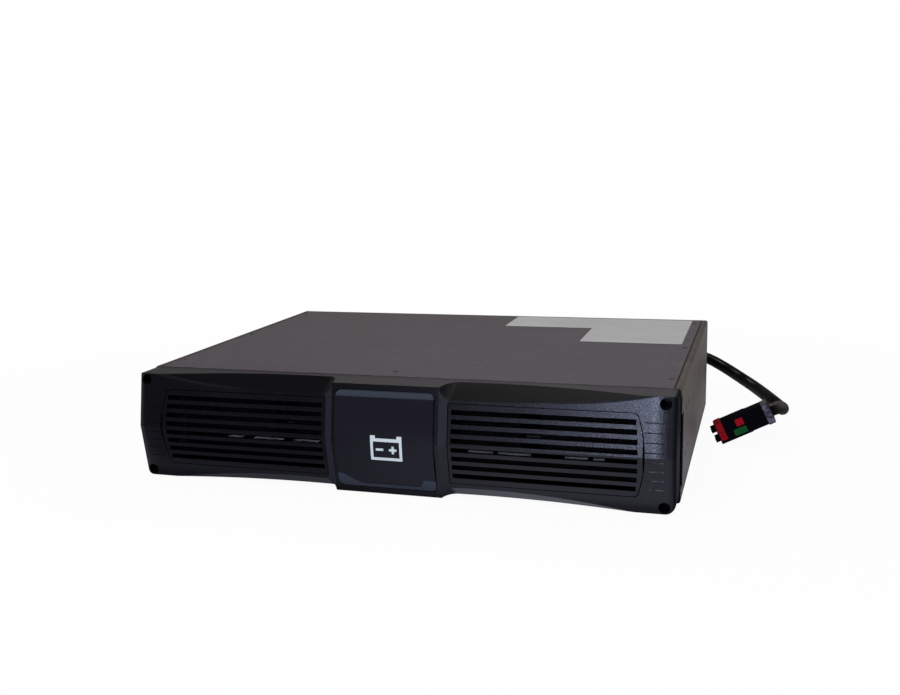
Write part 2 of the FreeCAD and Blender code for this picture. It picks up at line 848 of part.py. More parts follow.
def make_insert(name, side):
    """Slotted insert: creased bars flush with the wing, a rim behind the wing's wall and two ribs."""
    body = new_body(name)
    crest = front - dim.wing_crease
    low = middle - insert_height / 2
    high = middle + insert_height / 2

    def creased_band(first, last, z_low, z_high):
        """Section between two offsets behind the wing's face."""
        return [
            (front - face_depth(z_low) + last, z_low), (front - face_depth(z_low) + first, z_low),
            (crest + first, middle), (front - face_depth(z_high) + first, z_high),
            (front - face_depth(z_high) + last, z_high), (crest + last, middle),
        ]

    wall = dim.wing_wall
    rim = dim.insert_rim
    span = insert_outer + 2 * dim.insert_lip - dim.insert_inner
    pad(body, "YZ", side * dim.insert_inner, [creased_band(as_size(0), wall, low, high)],
        span, toward=side)
    around = rectangle(
        side * (dim.insert_inner - span), low - span, side * (insert_outer + span), high + span,
    )
    pocket(body, "XZ", front, [around, insert_outline(side, as_size(0))], nose, toward=-1)
    lip = dim.insert_lip
    pad(body, "YZ", side * (dim.insert_inner - lip), [creased_band(wall, wall + rim, low - lip, high + lip)],
        span + lip + rim, toward=side)
    slots = []
    ease = dim.slot_count.value / 2
    for index in range(int(dim.slot_count.value)):
        z = slot_height_at(index)
        away = (index - (dim.slot_count.value - 1) / 2) / ease
        outer = insert_outer - dim.slot_margin + dim.slot_bow * (1 - away * away)
        slots.append(rectangle(
            side * (dim.insert_inner + dim.slot_margin), z - slot_height / 2,
            side * outer, z + slot_height / 2,
        ))
    pocket(body, "XZ", front, slots, nose, toward=-1)
    for share in (1, 3):
        x = dim.insert_inner + share * (insert_outer - dim.insert_inner) / 4 - dim.rib_width / 2
        rib = creased_band(wall, dim.rib_depth, low, high)
        pad(body, "YZ", side * x, [rib], dim.rib_width, toward=side)


def panel_outline(grow):
    """Front view of the centre panel."""
    reach = dim.panel_half + grow
    tall = panel_height / 2 + grow
    return round_rectangle(-reach, middle - tall, reach, middle + tall, dim.panel_corner)


def make_centre_panel():
    """Gloss panel: bowed front with bevels along its top and bottom, hollow behind."""
    body = new_body("centre_panel")
    seat = front - dim.panel_seat
    depth = nose + dim.panel_edge - dim.panel_seat
    pad(body, "XZ", seat, [panel_outline(as_size(0))], depth, toward=-1)
    low = middle - panel_height / 2
    high = middle + panel_height / 2
    edge = seat - dim.panel_edge
    step = dim.panel_bevel_step
    ahead = seat - 2 * depth
    bow = [
        (ahead, low - 1), (edge, low - 1), (edge, low),
        (edge - step, low + dim.panel_bevel_low, -dim.panel_radius),
        (edge - step, high - dim.panel_bevel_high), (edge, high), (edge, high + 1), (ahead, high + 1),
    ]
    reach = dim.panel_half + 1
    pocket(body, "YZ", -reach, [bow], 2 * reach)
    hollow = dim.panel_half - dim.panel_corner
    tall = panel_height / 2 - dim.panel_corner
    pocket(body, "XZ", seat, [rectangle(-hollow, middle - tall, hollow, middle + tall)],
           dim.panel_hollow, toward=-1)


def make_front_screws():
    """Screws of the moulding in their wells, and of the retaining plate."""
    seat = front - dim.corner_floor
    group("bezel_screws", [pan_screw(x, seat, z, "y", 1) for x, z in corner_places()])
    x, z = plate_screw_x, dim.plate_screw_height
    group("plate_screws", [pan_screw(side * x, front, z, "y", 1) for side in (-1, 1)])


def make_retaining_plate():
    """Painted strip behind the inserts that keeps the battery tray in; its top edge is turned back."""
    body = new_body("retaining_plate")
    start = front + gauge
    end = front_row - dim.plate_gap
    low, high = dim.plate_low, dim.plate_high
    profile = [
        (start, low), (start + gauge, low), (start + gauge, high - gauge),
        (end, high - gauge), (end, high), (start, high),
    ]
    reach = half - dim.plate_side
    pad(body, "YZ", -reach, [profile], 2 * reach)
    thread = dim.screw_radius + dim.screw_clearance
    holes = [circle(side * plate_screw_x, dim.plate_screw_height, thread) for side in (-1, 1)]
    pocket(body, "XZ", front, holes, 4 * gauge)


# Batteries

def block_places():
    """Low corner, size along X and Y and terminal side of the six blocks."""
    places = []
    width, length = block_width, block_length
    pair = 2 * width + dim.tab_gap
    for side in (-1, 1):
        start = -pair - dim.block_gap / 2 if side < 0 else dim.block_gap / 2
        places.append((start, front_row, width, length, "right"))
        places.append((start + width + dim.tab_gap, front_row, width, length, "left"))
    for side in (-1, 1):
        start = -length - dim.block_gap / 2 if side < 0 else dim.block_gap / 2
        places.append((start, rear_row, length, width, "rear"))
    return places


def make_blocks():
    """Six sealed blocks lying on their sides, with a lid seam near the terminal face."""
    seam = dim.lid_seam
    for index, (x, y, wide, deep, side) in enumerate(block_places(), 1):
        body = new_body(f"battery_block_{index}")
        pad(body, "XY", block_base, [rectangle(x, y, x + wide, y + deep)], block_height)
        dress_edges(body, "Fillet", dim.block_round, lambda edge: runs_along(edge, 2))
        lid = dim.lid_height
        if side == "rear":
            start = y + deep - lid
            grooves = [
                rectangle(x - 1, start, x + seam, start + seam),
                rectangle(x + wide - seam, start, x + wide + 1, start + seam),
            ]
        else:
            start = x + wide - lid if side == "right" else x + lid - seam
            grooves = [
                rectangle(start, y - 1, start + seam, y + seam),
                rectangle(start, y + deep - seam, start + seam, y + deep + 1),
            ]
        pocket(body, "XY", block_top, grooves, block_height, toward=-1)


def make_tabs_and_links():
    """Flat tabs on the terminal faces, and straps that join the facing tabs of each front pair."""
    tabs, links = [], []
    z = block_base + (block_height - dim.tab_height) / 2
    thick, long, tall = dim.tab_gauge, dim.tab_length, dim.tab_height
    for x, y, wide, deep, side in block_places():
        for inset in (dim.tab_inset, block_length - dim.tab_inset):
            if side == "rear":
                tabs.append(block(x + inset, y + deep, z, thick, long, tall))
            else:
                start = x + wide if side == "right" else x - long
                tabs.append(block(start, y + inset, z, long, thick, tall))
        if side == "right":
            y_link = y + dim.tab_inset + thick
            links.append(block(x + wide, y_link, z, dim.tab_gap, thick, tall))
    group("battery_tabs", tabs)
    group("link_straps", links)


def make_battery_tray():
    """Folded tray that carries the blocks, with a lip at the front and one at the rear."""
    body = new_body("battery_tray")
    reach = half - gauge - dim.tray_side_gap
    skin = dim.tray_gauge
    start = front_row - skin
    end = rear_row + block_width + skin
    low, lip = gauge, gauge + dim.tray_lip
    profile = [
        (start, low), (end, low), (end, lip), (end - skin, lip), (end - skin, low + skin),
        (start + skin, low + skin), (start + skin, lip), (start, lip),
    ]
    pad(body, "YZ", -reach, [profile], 2 * reach)
    thread = dim.screw_radius + dim.screw_clearance
    holes = [circle(x, y, thread) for x, y in clamp_screw_places()]
    pocket(body, "XY", block_base, holes, skin, toward=-1)


def clamp_rows():
    """Name, half width over the blocks and middle of the row for the two clamps."""
    pair = 2 * block_width + dim.tab_gap
    return [
        ("front", pair + dim.block_gap / 2, front_row + block_length / 2),
        ("rear", block_length + dim.block_gap / 2, rear_row + block_width / 2),
    ]


def clamp_screw_places():
    """Plan positions of the clamps' screws."""
    places = []
    for _, reach, y in clamp_rows():
        x = reach + dim.clamp_gap + dim.clamp_gauge + dim.clamp_foot / 2
        places += [(-x, y), (x, y)]
    return places


def make_clamps():
    """Strap over each row, standing on the tray, with a foam strip between it and the blocks."""
    skin = dim.clamp_gauge
    roof = block_top + dim.foam_height
    clear = dim.screw_radius + dim.screw_clearance
    for name, reach, y in clamp_rows():
        body = new_body(f"clamp_{name}")
        leg = reach + dim.clamp_gap
        foot = leg + skin + dim.clamp_foot
        profile = mirrored([
            (leg, roof), (leg, block_base), (foot, block_base), (foot, block_base + skin),
            (leg + skin, block_base + skin), (leg + skin, roof + skin),
        ][::-1])
        start = y - dim.clamp_width / 2
        pad(body, "XZ", start, [profile], dim.clamp_width)
        holes = [circle(side * (leg + skin + dim.clamp_foot / 2), y, clear) for side in (-1, 1)]
        pocket(body, "XY", block_base + 2 * skin, holes, 3 * skin, toward=-1)
        foam = block(-reach, start, block_top, 2 * reach, dim.clamp_width, dim.foam_height)
        keep(foam, f"foam_{name}")
    seat = block_base + skin
    screws = []
    for x, y in clamp_screw_places():
        head = rod(x, y, seat, "z", dim.screw_head_radius, dim.screw_head_height)
        shank = rod(x, y, gauge, "z", dim.screw_radius, seat - gauge)
        screws.append(fuse(head, shank))
    group("clamp_screws", screws)


# Wiring

def fuse_place():
    """Low corner of the fuse base on the case's floor."""
    return dim.fuse_inset - half, wiring_room + dim.fuse_setback


def make_fuse():
    """Moulded base with two posts, and the cartridge that lies in them."""
    x, y = fuse_place()
    length, width, height = dim.fuse_base_length, dim.fuse_base_width, dim.fuse_base_height
    axis_height = gauge + height + dim.fuse_radius + 2
    base = block(x, y, gauge, length, width, height)
    posts = [
        block(x + start, y + width / 4, gauge, dim.fuse_post, width / 2, height + dim.fuse_radius + 2)
        for start in (as_size(0), length - dim.fuse_post)
    ]
    groove = rod(x - 1, y + width / 2, axis_height, "x", dim.fuse_radius + dim.screw_clearance, length + 2)
    keep(cut(fuse(base, *posts), groove), "fuse_base")
    cartridge = rod(x, y + width / 2, axis_height, "x", dim.fuse_radius, length)
    keep(cartridge, "fuse_cartridge")


def path_wire(points, show=None):
    """Straight runs joined by arcs, each as large as its two runs allow."""
    edges = []
    start = points[0]
    for before, corner, after in zip(points, points[1:], points[2:]):
        first, second = before - corner, after - corner
        turn = math.pi - first.getAngle(second)
        back = 0.45 * min(first.Length, second.Length)
        if show is not None:
            show.append(back / math.tan(turn / 2))
        enter = corner + first.normalize() * back
        leave = corner + second.normalize() * back
        bisector = (first + second).normalize()
        radius = back / math.tan(turn / 2)
        crown = corner + bisector * (radius / math.cos(turn / 2) - radius)
        edges.append(Part.LineSegment(start, enter).toShape())
        edges.append(Part.Arc(enter, crown, leave).toShape())
        start = leave
    edges.append(Part.LineSegment(start, points[-1]).toShape())
    return Part.Wire(edges)


def tube(name, points, radius, show=None):
    """Round tube along a path."""
    wire = path_wire(points, show)
    ring = Part.Wire(Part.Circle(points[0], points[1] - points[0], radius).toShape())
    piece = doc.addObject("Part::Feature", name)
    piece.Shape = wire.makePipeShell([ring], True, False)
    keep(piece, name)
    straight = math.pi * radius * radius * wire.Length
    if abs(piece.Shape.Volume / straight - 1) > 0.01:
        raise ValueError(f"{name} is not a plain tube")
    return wire.Length


def make_leads():
    """Inner leads: block to fuse, fuse to gland, block to gland, and gland to the earth stud."""
    radius = dim.lead_radius.value
    swing = dim.lead_swing.value
    gap = 0.3
    ring = 2.4 * radius
    deep = (rear - gauge - dim.gland_inner).value - gap
    gland = Vector(gland_x.value, deep, gland_z.value)
    stud_end = (rear - gauge - dim.stud_collar - dim.stud_inner).value - gap
    stud = Vector(stud_x.value, stud_end, dim.stud_height.value)
    fuse_x, fuse_y = (item.value for item in fuse_place())
    fuse_left = Vector(
        fuse_x - gap, fuse_y + dim.fuse_base_width.value / 2,
        (gauge + dim.fuse_base_height + dim.fuse_radius).value + 2,
    )
    fuse_right = fuse_left + Vector(dim.fuse_base_length.value + 2 * gap, 0, 0)
    tab_height = (block_base + block_height / 2).value
    tab_end = (wiring_room + gap).value
    left, right = block_places()[-2], block_places()[-1]
    plus = Vector((left[0] + dim.tab_inset + dim.tab_gauge / 2).value, tab_end, tab_height)
    minus_x = (right[0] + block_length - dim.tab_inset + dim.tab_gauge / 2).value
    minus = Vector(minus_x, tab_end, tab_height)
    tube("lead_positive", [
        plus, plus + Vector(0, 0.7 * swing, 0), Vector(plus.x, fuse_left.y, plus.z - swing / 2),
        Vector(plus.x + swing / 5, fuse_left.y, fuse_left.z + 0.3 * swing),
        fuse_left + Vector(-0.7 * swing, 0, 0), fuse_left,
    ], radius)
    tube("lead_fused", [
        fuse_right, fuse_right + Vector(0.8 * swing, 0, swing / 20),
        fuse_right + Vector(2 * swing, -0.3 * swing, swing / 10),
        Vector(gland.x - 3 * swing, gland.y - swing, fuse_right.z + swing / 5),
        gland + Vector(-1.1 * swing, -swing, -0.9 * swing),
        gland + Vector(-ring, -0.7 * swing, -ring / 2), gland + Vector(-ring, 0, -ring / 2),
    ], radius)
    tube("lead_negative", [
        minus, minus + Vector(0, 0.35 * swing, 0.05 * swing),
        Vector(minus.x, minus.y + 0.45 * swing, gland.z + ring - 1),
        gland + Vector(0, -swing / 2, ring + 0.5), gland + Vector(0, 0, ring),
    ], radius)
    tube("lead_earth", [
        gland + Vector(ring, 0, -ring / 2), gland + Vector(ring, -0.4 * swing, -ring / 2 - 1),
        gland + Vector(1.1 * swing, -0.45 * swing, -0.6 * swing),
        stud + Vector(-0.7 * swing, -0.7 * swing, swing / 5), stud + Vector(0, -0.6 * swing, 0), stud,
    ], radius)


# Rear fittings

def make_rear_screws():
    """Pan-head screws of the rear panel."""
    group("rear_screws", [pan_screw(x, rear, z, "y", -1) for x, z in rear_screw_places()])


def make_gland():
    """Gland body through the panel, its lock nut inside and its cap, all bored for the cable."""
    x, z = gland_x, gland_z
    bore = dim.cable_diameter / 2 + dim.cable_clearance
    inside = gauge + dim.gland_inner
    flange = hexagon(x, rear, z, "y", dim.gland_hex, dim.gland_hex_length)
    thread = rod(x, rear - inside, z, "y", dim.gland_thread, inside + dim.gland_hex_length)
    through = rod(x, rear - inside - 1, z, "y", bore, inside + dim.gland_hex_length + 2)
    keep(cut(fuse(flange, thread), through), "cable_gland")
    nut = hexagon(x, rear - gauge - dim.gland_nut_length, z, "y", dim.gland_hex, dim.gland_nut_length)
    hole = rod(x, rear - inside, z, "y", dim.gland_thread + dim.screw_clearance, inside)
    keep(cut(nut, hole), "gland_nut")
    start = rear + dim.gland_hex_length
    straight = dim.gland_cap_length / 3
    collar = rod(x, start, z, "y", dim.gland_cap_radius, straight)
    dome = taper(x, start + straight, z, "y", dim.gland_cap_radius, bore + 2, 2 * straight)
    through = rod(x, start - 1, z, "y", bore, dim.gland_cap_length + 2)
    keep(cut(fuse(collar, dome), through), "gland_cap")


def make_chain_socket():
    """Panel socket for the next pack: flanged shell, blind at the back, with two contact blades."""
    body = new_body("chain_socket")
    x, z = socket_x, socket_z
    wide, tall = dim.socket_mouth_width / 2, dim.socket_mouth_height / 2
    wall, rim = dim.socket_wall, dim.socket_flange

    def around(grow):
        return rectangle(x - wide - grow, z - tall - grow, x + wide + grow, z + tall + grow)

    depth = dim.socket_depth
    pad(body, "XZ", rear, [around(wall + rim)], dim.socket_flange_gauge)
    pad(body, "XZ", rear, [around(wall)], depth, toward=-1)
    mouth = rear + dim.socket_flange_gauge
    pocket(body, "XZ", mouth, [around(as_size(0))],
           depth + dim.socket_flange_gauge - dim.socket_floor, toward=-1)
    floor = rear - depth + dim.socket_floor
    blade = depth / 3
    blades = [
        block(x - wide / 2, floor, z + side * tall / 2 - 1, wide, blade, 2) for side in (-1, 1)
    ]
    group("socket_contacts", blades)


def make_earth_stud():
    """Earth stud with a collar inside the panel, and its nut outside."""
    x, z = stud_x, dim.stud_height
    inside = gauge + dim.stud_collar + dim.stud_inner
    shaft = rod(x, rear - inside, z, "y", dim.stud_radius, inside + dim.stud_reach)
    collar = rod(x, rear - gauge - dim.stud_collar, z, "y", dim.stud_collar_radius, dim.stud_collar)
    keep(fuse(shaft, collar), "earth_stud")
    nut = hexagon(x, rear, z, "y", dim.stud_collar_radius, dim.stud_nut)
    hole = rod(x, rear - 1, z, "y", dim.stud_radius + dim.stud_nut_gap, dim.stud_nut + 2)
    keep(cut(nut, hole), "earth_nut")


# Battery cable and its connector

def connector_nose():
    """Plan position of the middle of the connector's lower nose edge, on the floor beside the case."""
    return half + dim.connector_beside, rear - dim.connector_ahead


def connector_tail():
    """Middle of the sleeve's end, where the cable goes in, and the way from the nose to there."""
    turn = Rotation(dim.connector_turn.value, -dim.connector_rise.value, 0)
    length = (dim.frame_length + dim.sleeve_length + dim.sleeve_taper).value
    nose_x, nose_y = connector_nose()
    middle_height = dim.connector_side.value / 2
    tail = Vector(nose_x.value, nose_y.value, 0) + turn.multVec(Vector(length, 0, middle_height))
    return tail, turn.multVec(Vector(1, 0, 0))


# Corners of the cable behind the case, from the middle of the gland in the panel's outer face
CABLE_LOOP = [
    (0.0, 53.0, 0.0), (14.6, 78.7, -1.0), (39.9, 93.7, -3.5), (69.4, 94.3, -7.5), (95.3, 80.2, -12.5),
    (114.0, 53.0, -16.5), (131.0, 17.0, -19.0), (144.5, -19.0, -19.3), (154.5, -53.0, -18.7),
    (164.5, -93.0, -16.5),
]


def make_cable():
    """Free cable from the gland's mouth, round behind the case and down to the connector."""
    gland = Vector(gland_x.value, rear.value, gland_z.value)
    tail, along = connector_tail()
    route = [gland + Vector(0, rear_reach.value, 0)]
    route += [gland + Vector(*step) for step in CABLE_LOOP]
    last_bend = tail + along * 9.4
    route += [last_bend + (along + Vector(-0.437, 0.863, -0.254)).normalize() * 12, last_bend, tail]
    radii = []
    length = tube("battery_cable", route, dim.cable_diameter.value / 2, radii)
    print("cable length", round(length, 1), "radii", [round(radius, 1) for radius in radii])


def turn_to_connector(piece):
    """Place a piece of the connector: its own X runs from the nose on the floor up to the cable."""
    piece.setExpression("Placement.Rotation.Yaw", f"{dim.connector_turn.text} * 1 deg")
    piece.setExpression("Placement.Rotation.Pitch", f"-1 * {dim.connector_rise.text} * 1 deg")
    nose_x, nose_y = connector_nose()
    bind(piece, Placement__Base__x=nose_x, Placement__Base__y=nose_y)


def make_connector():
    """Black frame with coloured pole blocks across it, tongues at the nose, sleeve and band."""
    tall = dim.connector_side
    wide = tall / 2
    frame = new_body("connector_frame")
    pad(frame, "XY", as_size(0), [rectangle(0, -wide, dim.frame_length, wide)], tall)
    dress_edges(frame, "Fillet", dim.frame_round, lambda edge: runs_along(edge, 0))
    low, roof = dim.front_pole_floor, tall - dim.rear_pole_roof
    middle = (tall + low) / 2
    floor = dim.earth_pole_floor
    blocks = {
        "poles_front": [
            (dim.front_pole_at, dim.front_pole_length, low, middle - dim.front_pole_web / 2, False),
            (dim.front_pole_at, dim.front_pole_length, middle + dim.front_pole_web / 2, tall, True),
        ],
        "pole_positive": [
            (dim.rear_pole_at, dim.rear_pole_length, roof - dim.rear_pole_height, roof, False),
        ],
        "pole_earth": [
            (dim.earth_pole_at, dim.earth_pole_length, floor, floor + dim.earth_pole_height, False),
        ],
    }
    seats = [
        rectangle(at, base, at + long, top + (1 if open_top else 0))
        for rows in blocks.values() for at, long, base, top, open_top in rows
    ]
    pocket(frame, "XZ", -wide - 1, seats, tall + 2)
    tongue = dim.tongue_side
    tongues = [
        rectangle(y - tongue / 2, z - tongue / 2, y + tongue / 2, z + tongue / 2)
        for y in (-wide / 2, wide / 2) for z in (tall / 4, 3 * tall / 4)
    ]
    pad(frame, "YZ", as_size(0), tongues, dim.tongue_length, toward=-1)
    turn_to_connector(frame)
    clear = dim.screw_clearance
    proud = dim.pole_proud

    def pole(name, rows):
        """Pole blocks through the frame, each with a shallow well in its near face."""
        body = new_body(name)
        shapes = [
            rectangle(at + clear, base + clear, at + long - clear, top + (proud if open_top else -clear))
            for at, long, base, top, open_top in rows
        ]
        pad(body, "XZ", -wide - proud, shapes, tall + 2 * proud)
        wells = []
        for at, long, base, top, _ in rows:
            high = top - base
            wells.append(rectangle(at + long / 4, base + high / 4, at + 3 * long / 4, base + 3 * high / 4))
        pocket(body, "XZ", -wide - proud, wells, 2 * proud)
        turn_to_connector(body)

    for name, rows in blocks.items():
        pole(name, rows)
    sleeve = new_body("cable_sleeve")
    start = dim.frame_length
    pad(sleeve, "YZ", start, [round_rectangle(-wide, as_size(0), wide, tall, dim.sleeve_round)],
        dim.sleeve_length)
    end = start + dim.sleeve_length
    mouth = new_sketch(sleeve, "YZ", end, [
        round_rectangle(-wide, as_size(0), wide, tall, dim.sleeve_round)])
    throat_radius = dim.cable_diameter / 2 + 1
    throat = new_sketch(sleeve, "YZ", end + dim.sleeve_taper, [
        round_rectangle(-throat_radius, tall / 2 - throat_radius, throat_radius, tall / 2 + throat_radius,
                        dim.cable_diameter / 2)])
    loft = sleeve.newObject("PartDesign::AdditiveLoft", "throat")
    loft.Profile = mouth
    loft.Sections = [throat]
    turn_to_connector(sleeve)
    band = new_body("sleeve_band")
    at = start + dim.band_at
    thick = dim.band_gauge
    shell = dim.sleeve_round + thick
    outer = [
        (-wide - thick, as_size(0)), (wide + thick, as_size(0)), (wide + thick, tall + thick - shell, shell),
        (wide + thick - shell, tall + thick), (-wide - thick + shell, tall + thick, shell),
        (-wide - thick, tall + thick - shell),
    ]
    pad(band, "YZ", at, [outer], dim.band_length)
    inner = round_rectangle(-wide, as_size(0), wide, tall, dim.sleeve_round)
    pocket(band, "YZ", at, [inner], dim.band_length)
    turn_to_connector(band)


def check_and_write():
    """Refuse a failed or faulty piece, then write one file for each node."""
    doc.recompute()
    bad = [item.Label for item in doc.Objects if {"Invalid", "Error"} & set(item.State)]
    bad += [name for name, piece in nodes if piece.Shape.isNull() or not piece.Shape.isValid()]
    if bad:
        raise ValueError(f"faulty pieces: {bad}")
    os.makedirs("parts", exist_ok=True)
    for name, piece in nodes:
        piece.Shape.exportStep(os.path.join("parts", f"{name}.step"))
    print(len(nodes), "nodes written")


def main():
    """Build every piece in the order in which the pack is put together."""
    make_chassis()
    make_front_rail()
    make_cover()
    make_cover_screws()
    make_rear_panel()
    make_bezel()
    make_insert("grille_left", -1)
    make_insert("grille_right", 1)
    make_centre_panel()
    make_front_screws()
    make_retaining_plate()
    make_blocks()
    make_tabs_and_links()
    make_battery_tray()
    make_clamps()
    make_fuse()
    make_leads()
    make_rear_screws()
    make_gland()
    make_chain_socket()
    make_earth_stud()
    make_cable()
    make_connector()
    check_and_write()


main()
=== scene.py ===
"""Looks of the rack battery pack: finishes, labels, panel sign, screw heads and the battery lead."""
import logging
import math
from collections.abc import Sequence
from dataclasses import dataclass
from enum import Enum
from typing import Any

import bmesh
import bpy
from mathutils import Matrix, Vector


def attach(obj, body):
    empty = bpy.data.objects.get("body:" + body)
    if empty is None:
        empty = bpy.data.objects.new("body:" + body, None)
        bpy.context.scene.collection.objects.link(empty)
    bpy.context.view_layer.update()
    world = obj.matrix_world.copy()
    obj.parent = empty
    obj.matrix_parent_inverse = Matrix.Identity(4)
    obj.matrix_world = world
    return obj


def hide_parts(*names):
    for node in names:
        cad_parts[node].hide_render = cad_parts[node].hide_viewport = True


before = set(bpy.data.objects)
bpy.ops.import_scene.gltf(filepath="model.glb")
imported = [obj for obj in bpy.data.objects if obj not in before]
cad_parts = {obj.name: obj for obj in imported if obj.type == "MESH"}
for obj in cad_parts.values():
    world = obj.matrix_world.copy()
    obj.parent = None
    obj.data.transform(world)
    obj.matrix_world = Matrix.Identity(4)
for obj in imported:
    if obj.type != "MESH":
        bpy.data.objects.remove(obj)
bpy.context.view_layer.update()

MM = 0.001
BODY = "root"
WHITE = (1.0, 1.0, 1.0)
NOISE_MIDDLE = 0.5
Colour = tuple[float, float, float]
Point = tuple[float, float, float]
Span = tuple[float, float]
Socket = bpy.types.NodeSocket
Material = bpy.types.Material
Piece = bpy.types.Object
Value = "Signal | float"
log = logging.getLogger("battery_pack")


class Signal:
    """A value in a node tree, with arithmetic that adds its Math nodes."""

    def __init__(self, bench: "NodeBench", socket: Socket) -> None:
        """Wrap a value socket of a bench's tree."""
        self.bench = bench
        self.socket = socket

    def _math(self, operation: str, *values: Value) -> "Signal":
        """Result of a Math node with this operation on these values, in order."""
        node = self.bench.node("ShaderNodeMath", {"operation": operation}, dict(enumerate(values)))
        return Signal(self.bench, node.outputs[0])

    def __add__(self, other: Value) -> "Signal":
        """Sum."""
        return self._math("ADD", self, other)

    def __radd__(self, other: float) -> "Signal":
        """Sum with a number first."""
        return self._math("ADD", other, self)

    def __sub__(self, other: Value) -> "Signal":
        """Difference."""
        return self._math("SUBTRACT", self, other)

    def __rsub__(self, other: float) -> "Signal":
        """Difference from a number."""
        return self._math("SUBTRACT", other, self)

    def __mul__(self, other: Value) -> "Signal":
        """Product."""
        return self._math("MULTIPLY", self, other)

    def __rmul__(self, other: float) -> "Signal":
        """Product with a number first."""
        return self._math("MULTIPLY", other, self)

    def __pow__(self, other: float) -> "Signal":
        """Power."""
        return self._math("POWER", self, other)

    def __abs__(self) -> "Signal":
        """Size without sign."""
        return self._math("ABSOLUTE", self)

    def lower(self, other: Value) -> "Signal":
        """The smaller of two values."""
        return self._math("MINIMUM", self, other)

    def upper(self, other: Value) -> "Signal":
        """The larger of two values."""
        return self._math("MAXIMUM", self, other)

    def sway(self, amount: float) -> "Signal":
        """A noise as a change about zero, of this amount over its range."""
        return (self - NOISE_MIDDLE) * amount

    def step(self, start: float, end: float, low: float = 0.0, high: float = 1.0) -> "Signal":
        """Smooth change from one level to another.

        Args:
            start: Where the change starts.
            end: Where it ends, which may be below start.
            low: Level at the start.
            high: Level at the end.

        Returns:
            The level, clamped outside the range.
        """
        node = self.bench.node(
            "ShaderNodeMapRange", {"interpolation_type": "SMOOTHSTEP", "clamp": True},
            {"Value": self, "From Min": start, "From Max": end, "To Min": low, "To Max": high},
        )
        return Signal(self.bench, node.outputs["Result"])

    def band(self, rise: Span, fall: Span) -> "Signal":
        """Mask of a range: it goes up over the first span, and down over the second, given from its end."""
        return self.step(*rise) * self.step(*fall)


class NodeBench:
    """A node tree that is filled through one method."""

    def __init__(self, tree: bpy.types.NodeTree) -> None:
        """Start on an empty tree."""
        self.tree = tree
        tree.nodes.clear()

    def node(
        self, kind: str, settings: dict[str, Any] | None = None, sockets: dict[str | int, Any] | None = None,
    ) -> bpy.types.Node:
        """Add a node.

        Args:
            kind: The node's type.
            settings: Its properties, which are set first.
            sockets: Its inputs by name or place: a Signal or socket is linked, anything else is set.

        Returns:
            The new node.
        """
        made = self.tree.nodes.new(kind)
        for key, value in (settings or {}).items():
            setattr(made, key, value)
        for key, value in (sockets or {}).items():
            socket = self._input(made, key)
            if isinstance(value, Signal):
                self.tree.links.new(value.socket, socket)
            elif isinstance(value, Socket):
                self.tree.links.new(value, socket)
            elif socket.type == "RGBA":
                socket.default_value = (*value, 1.0)
            else:
                socket.default_value = value
        return made

    @staticmethod
    def _input(node: bpy.types.Node, key: str | int) -> Socket:
        """Input socket of a node by place, or by name among those in use."""
        named = (socket for socket in node.inputs if socket.name == key and socket.enabled)
        return node.inputs[key] if isinstance(key, int) else next(named)

    def split(self, vector: Socket) -> list[Signal]:
        """The three parts of a vector."""
        return [Signal(self, part) for part in self.node("ShaderNodeSeparateXYZ", None, {0: vector}).outputs]


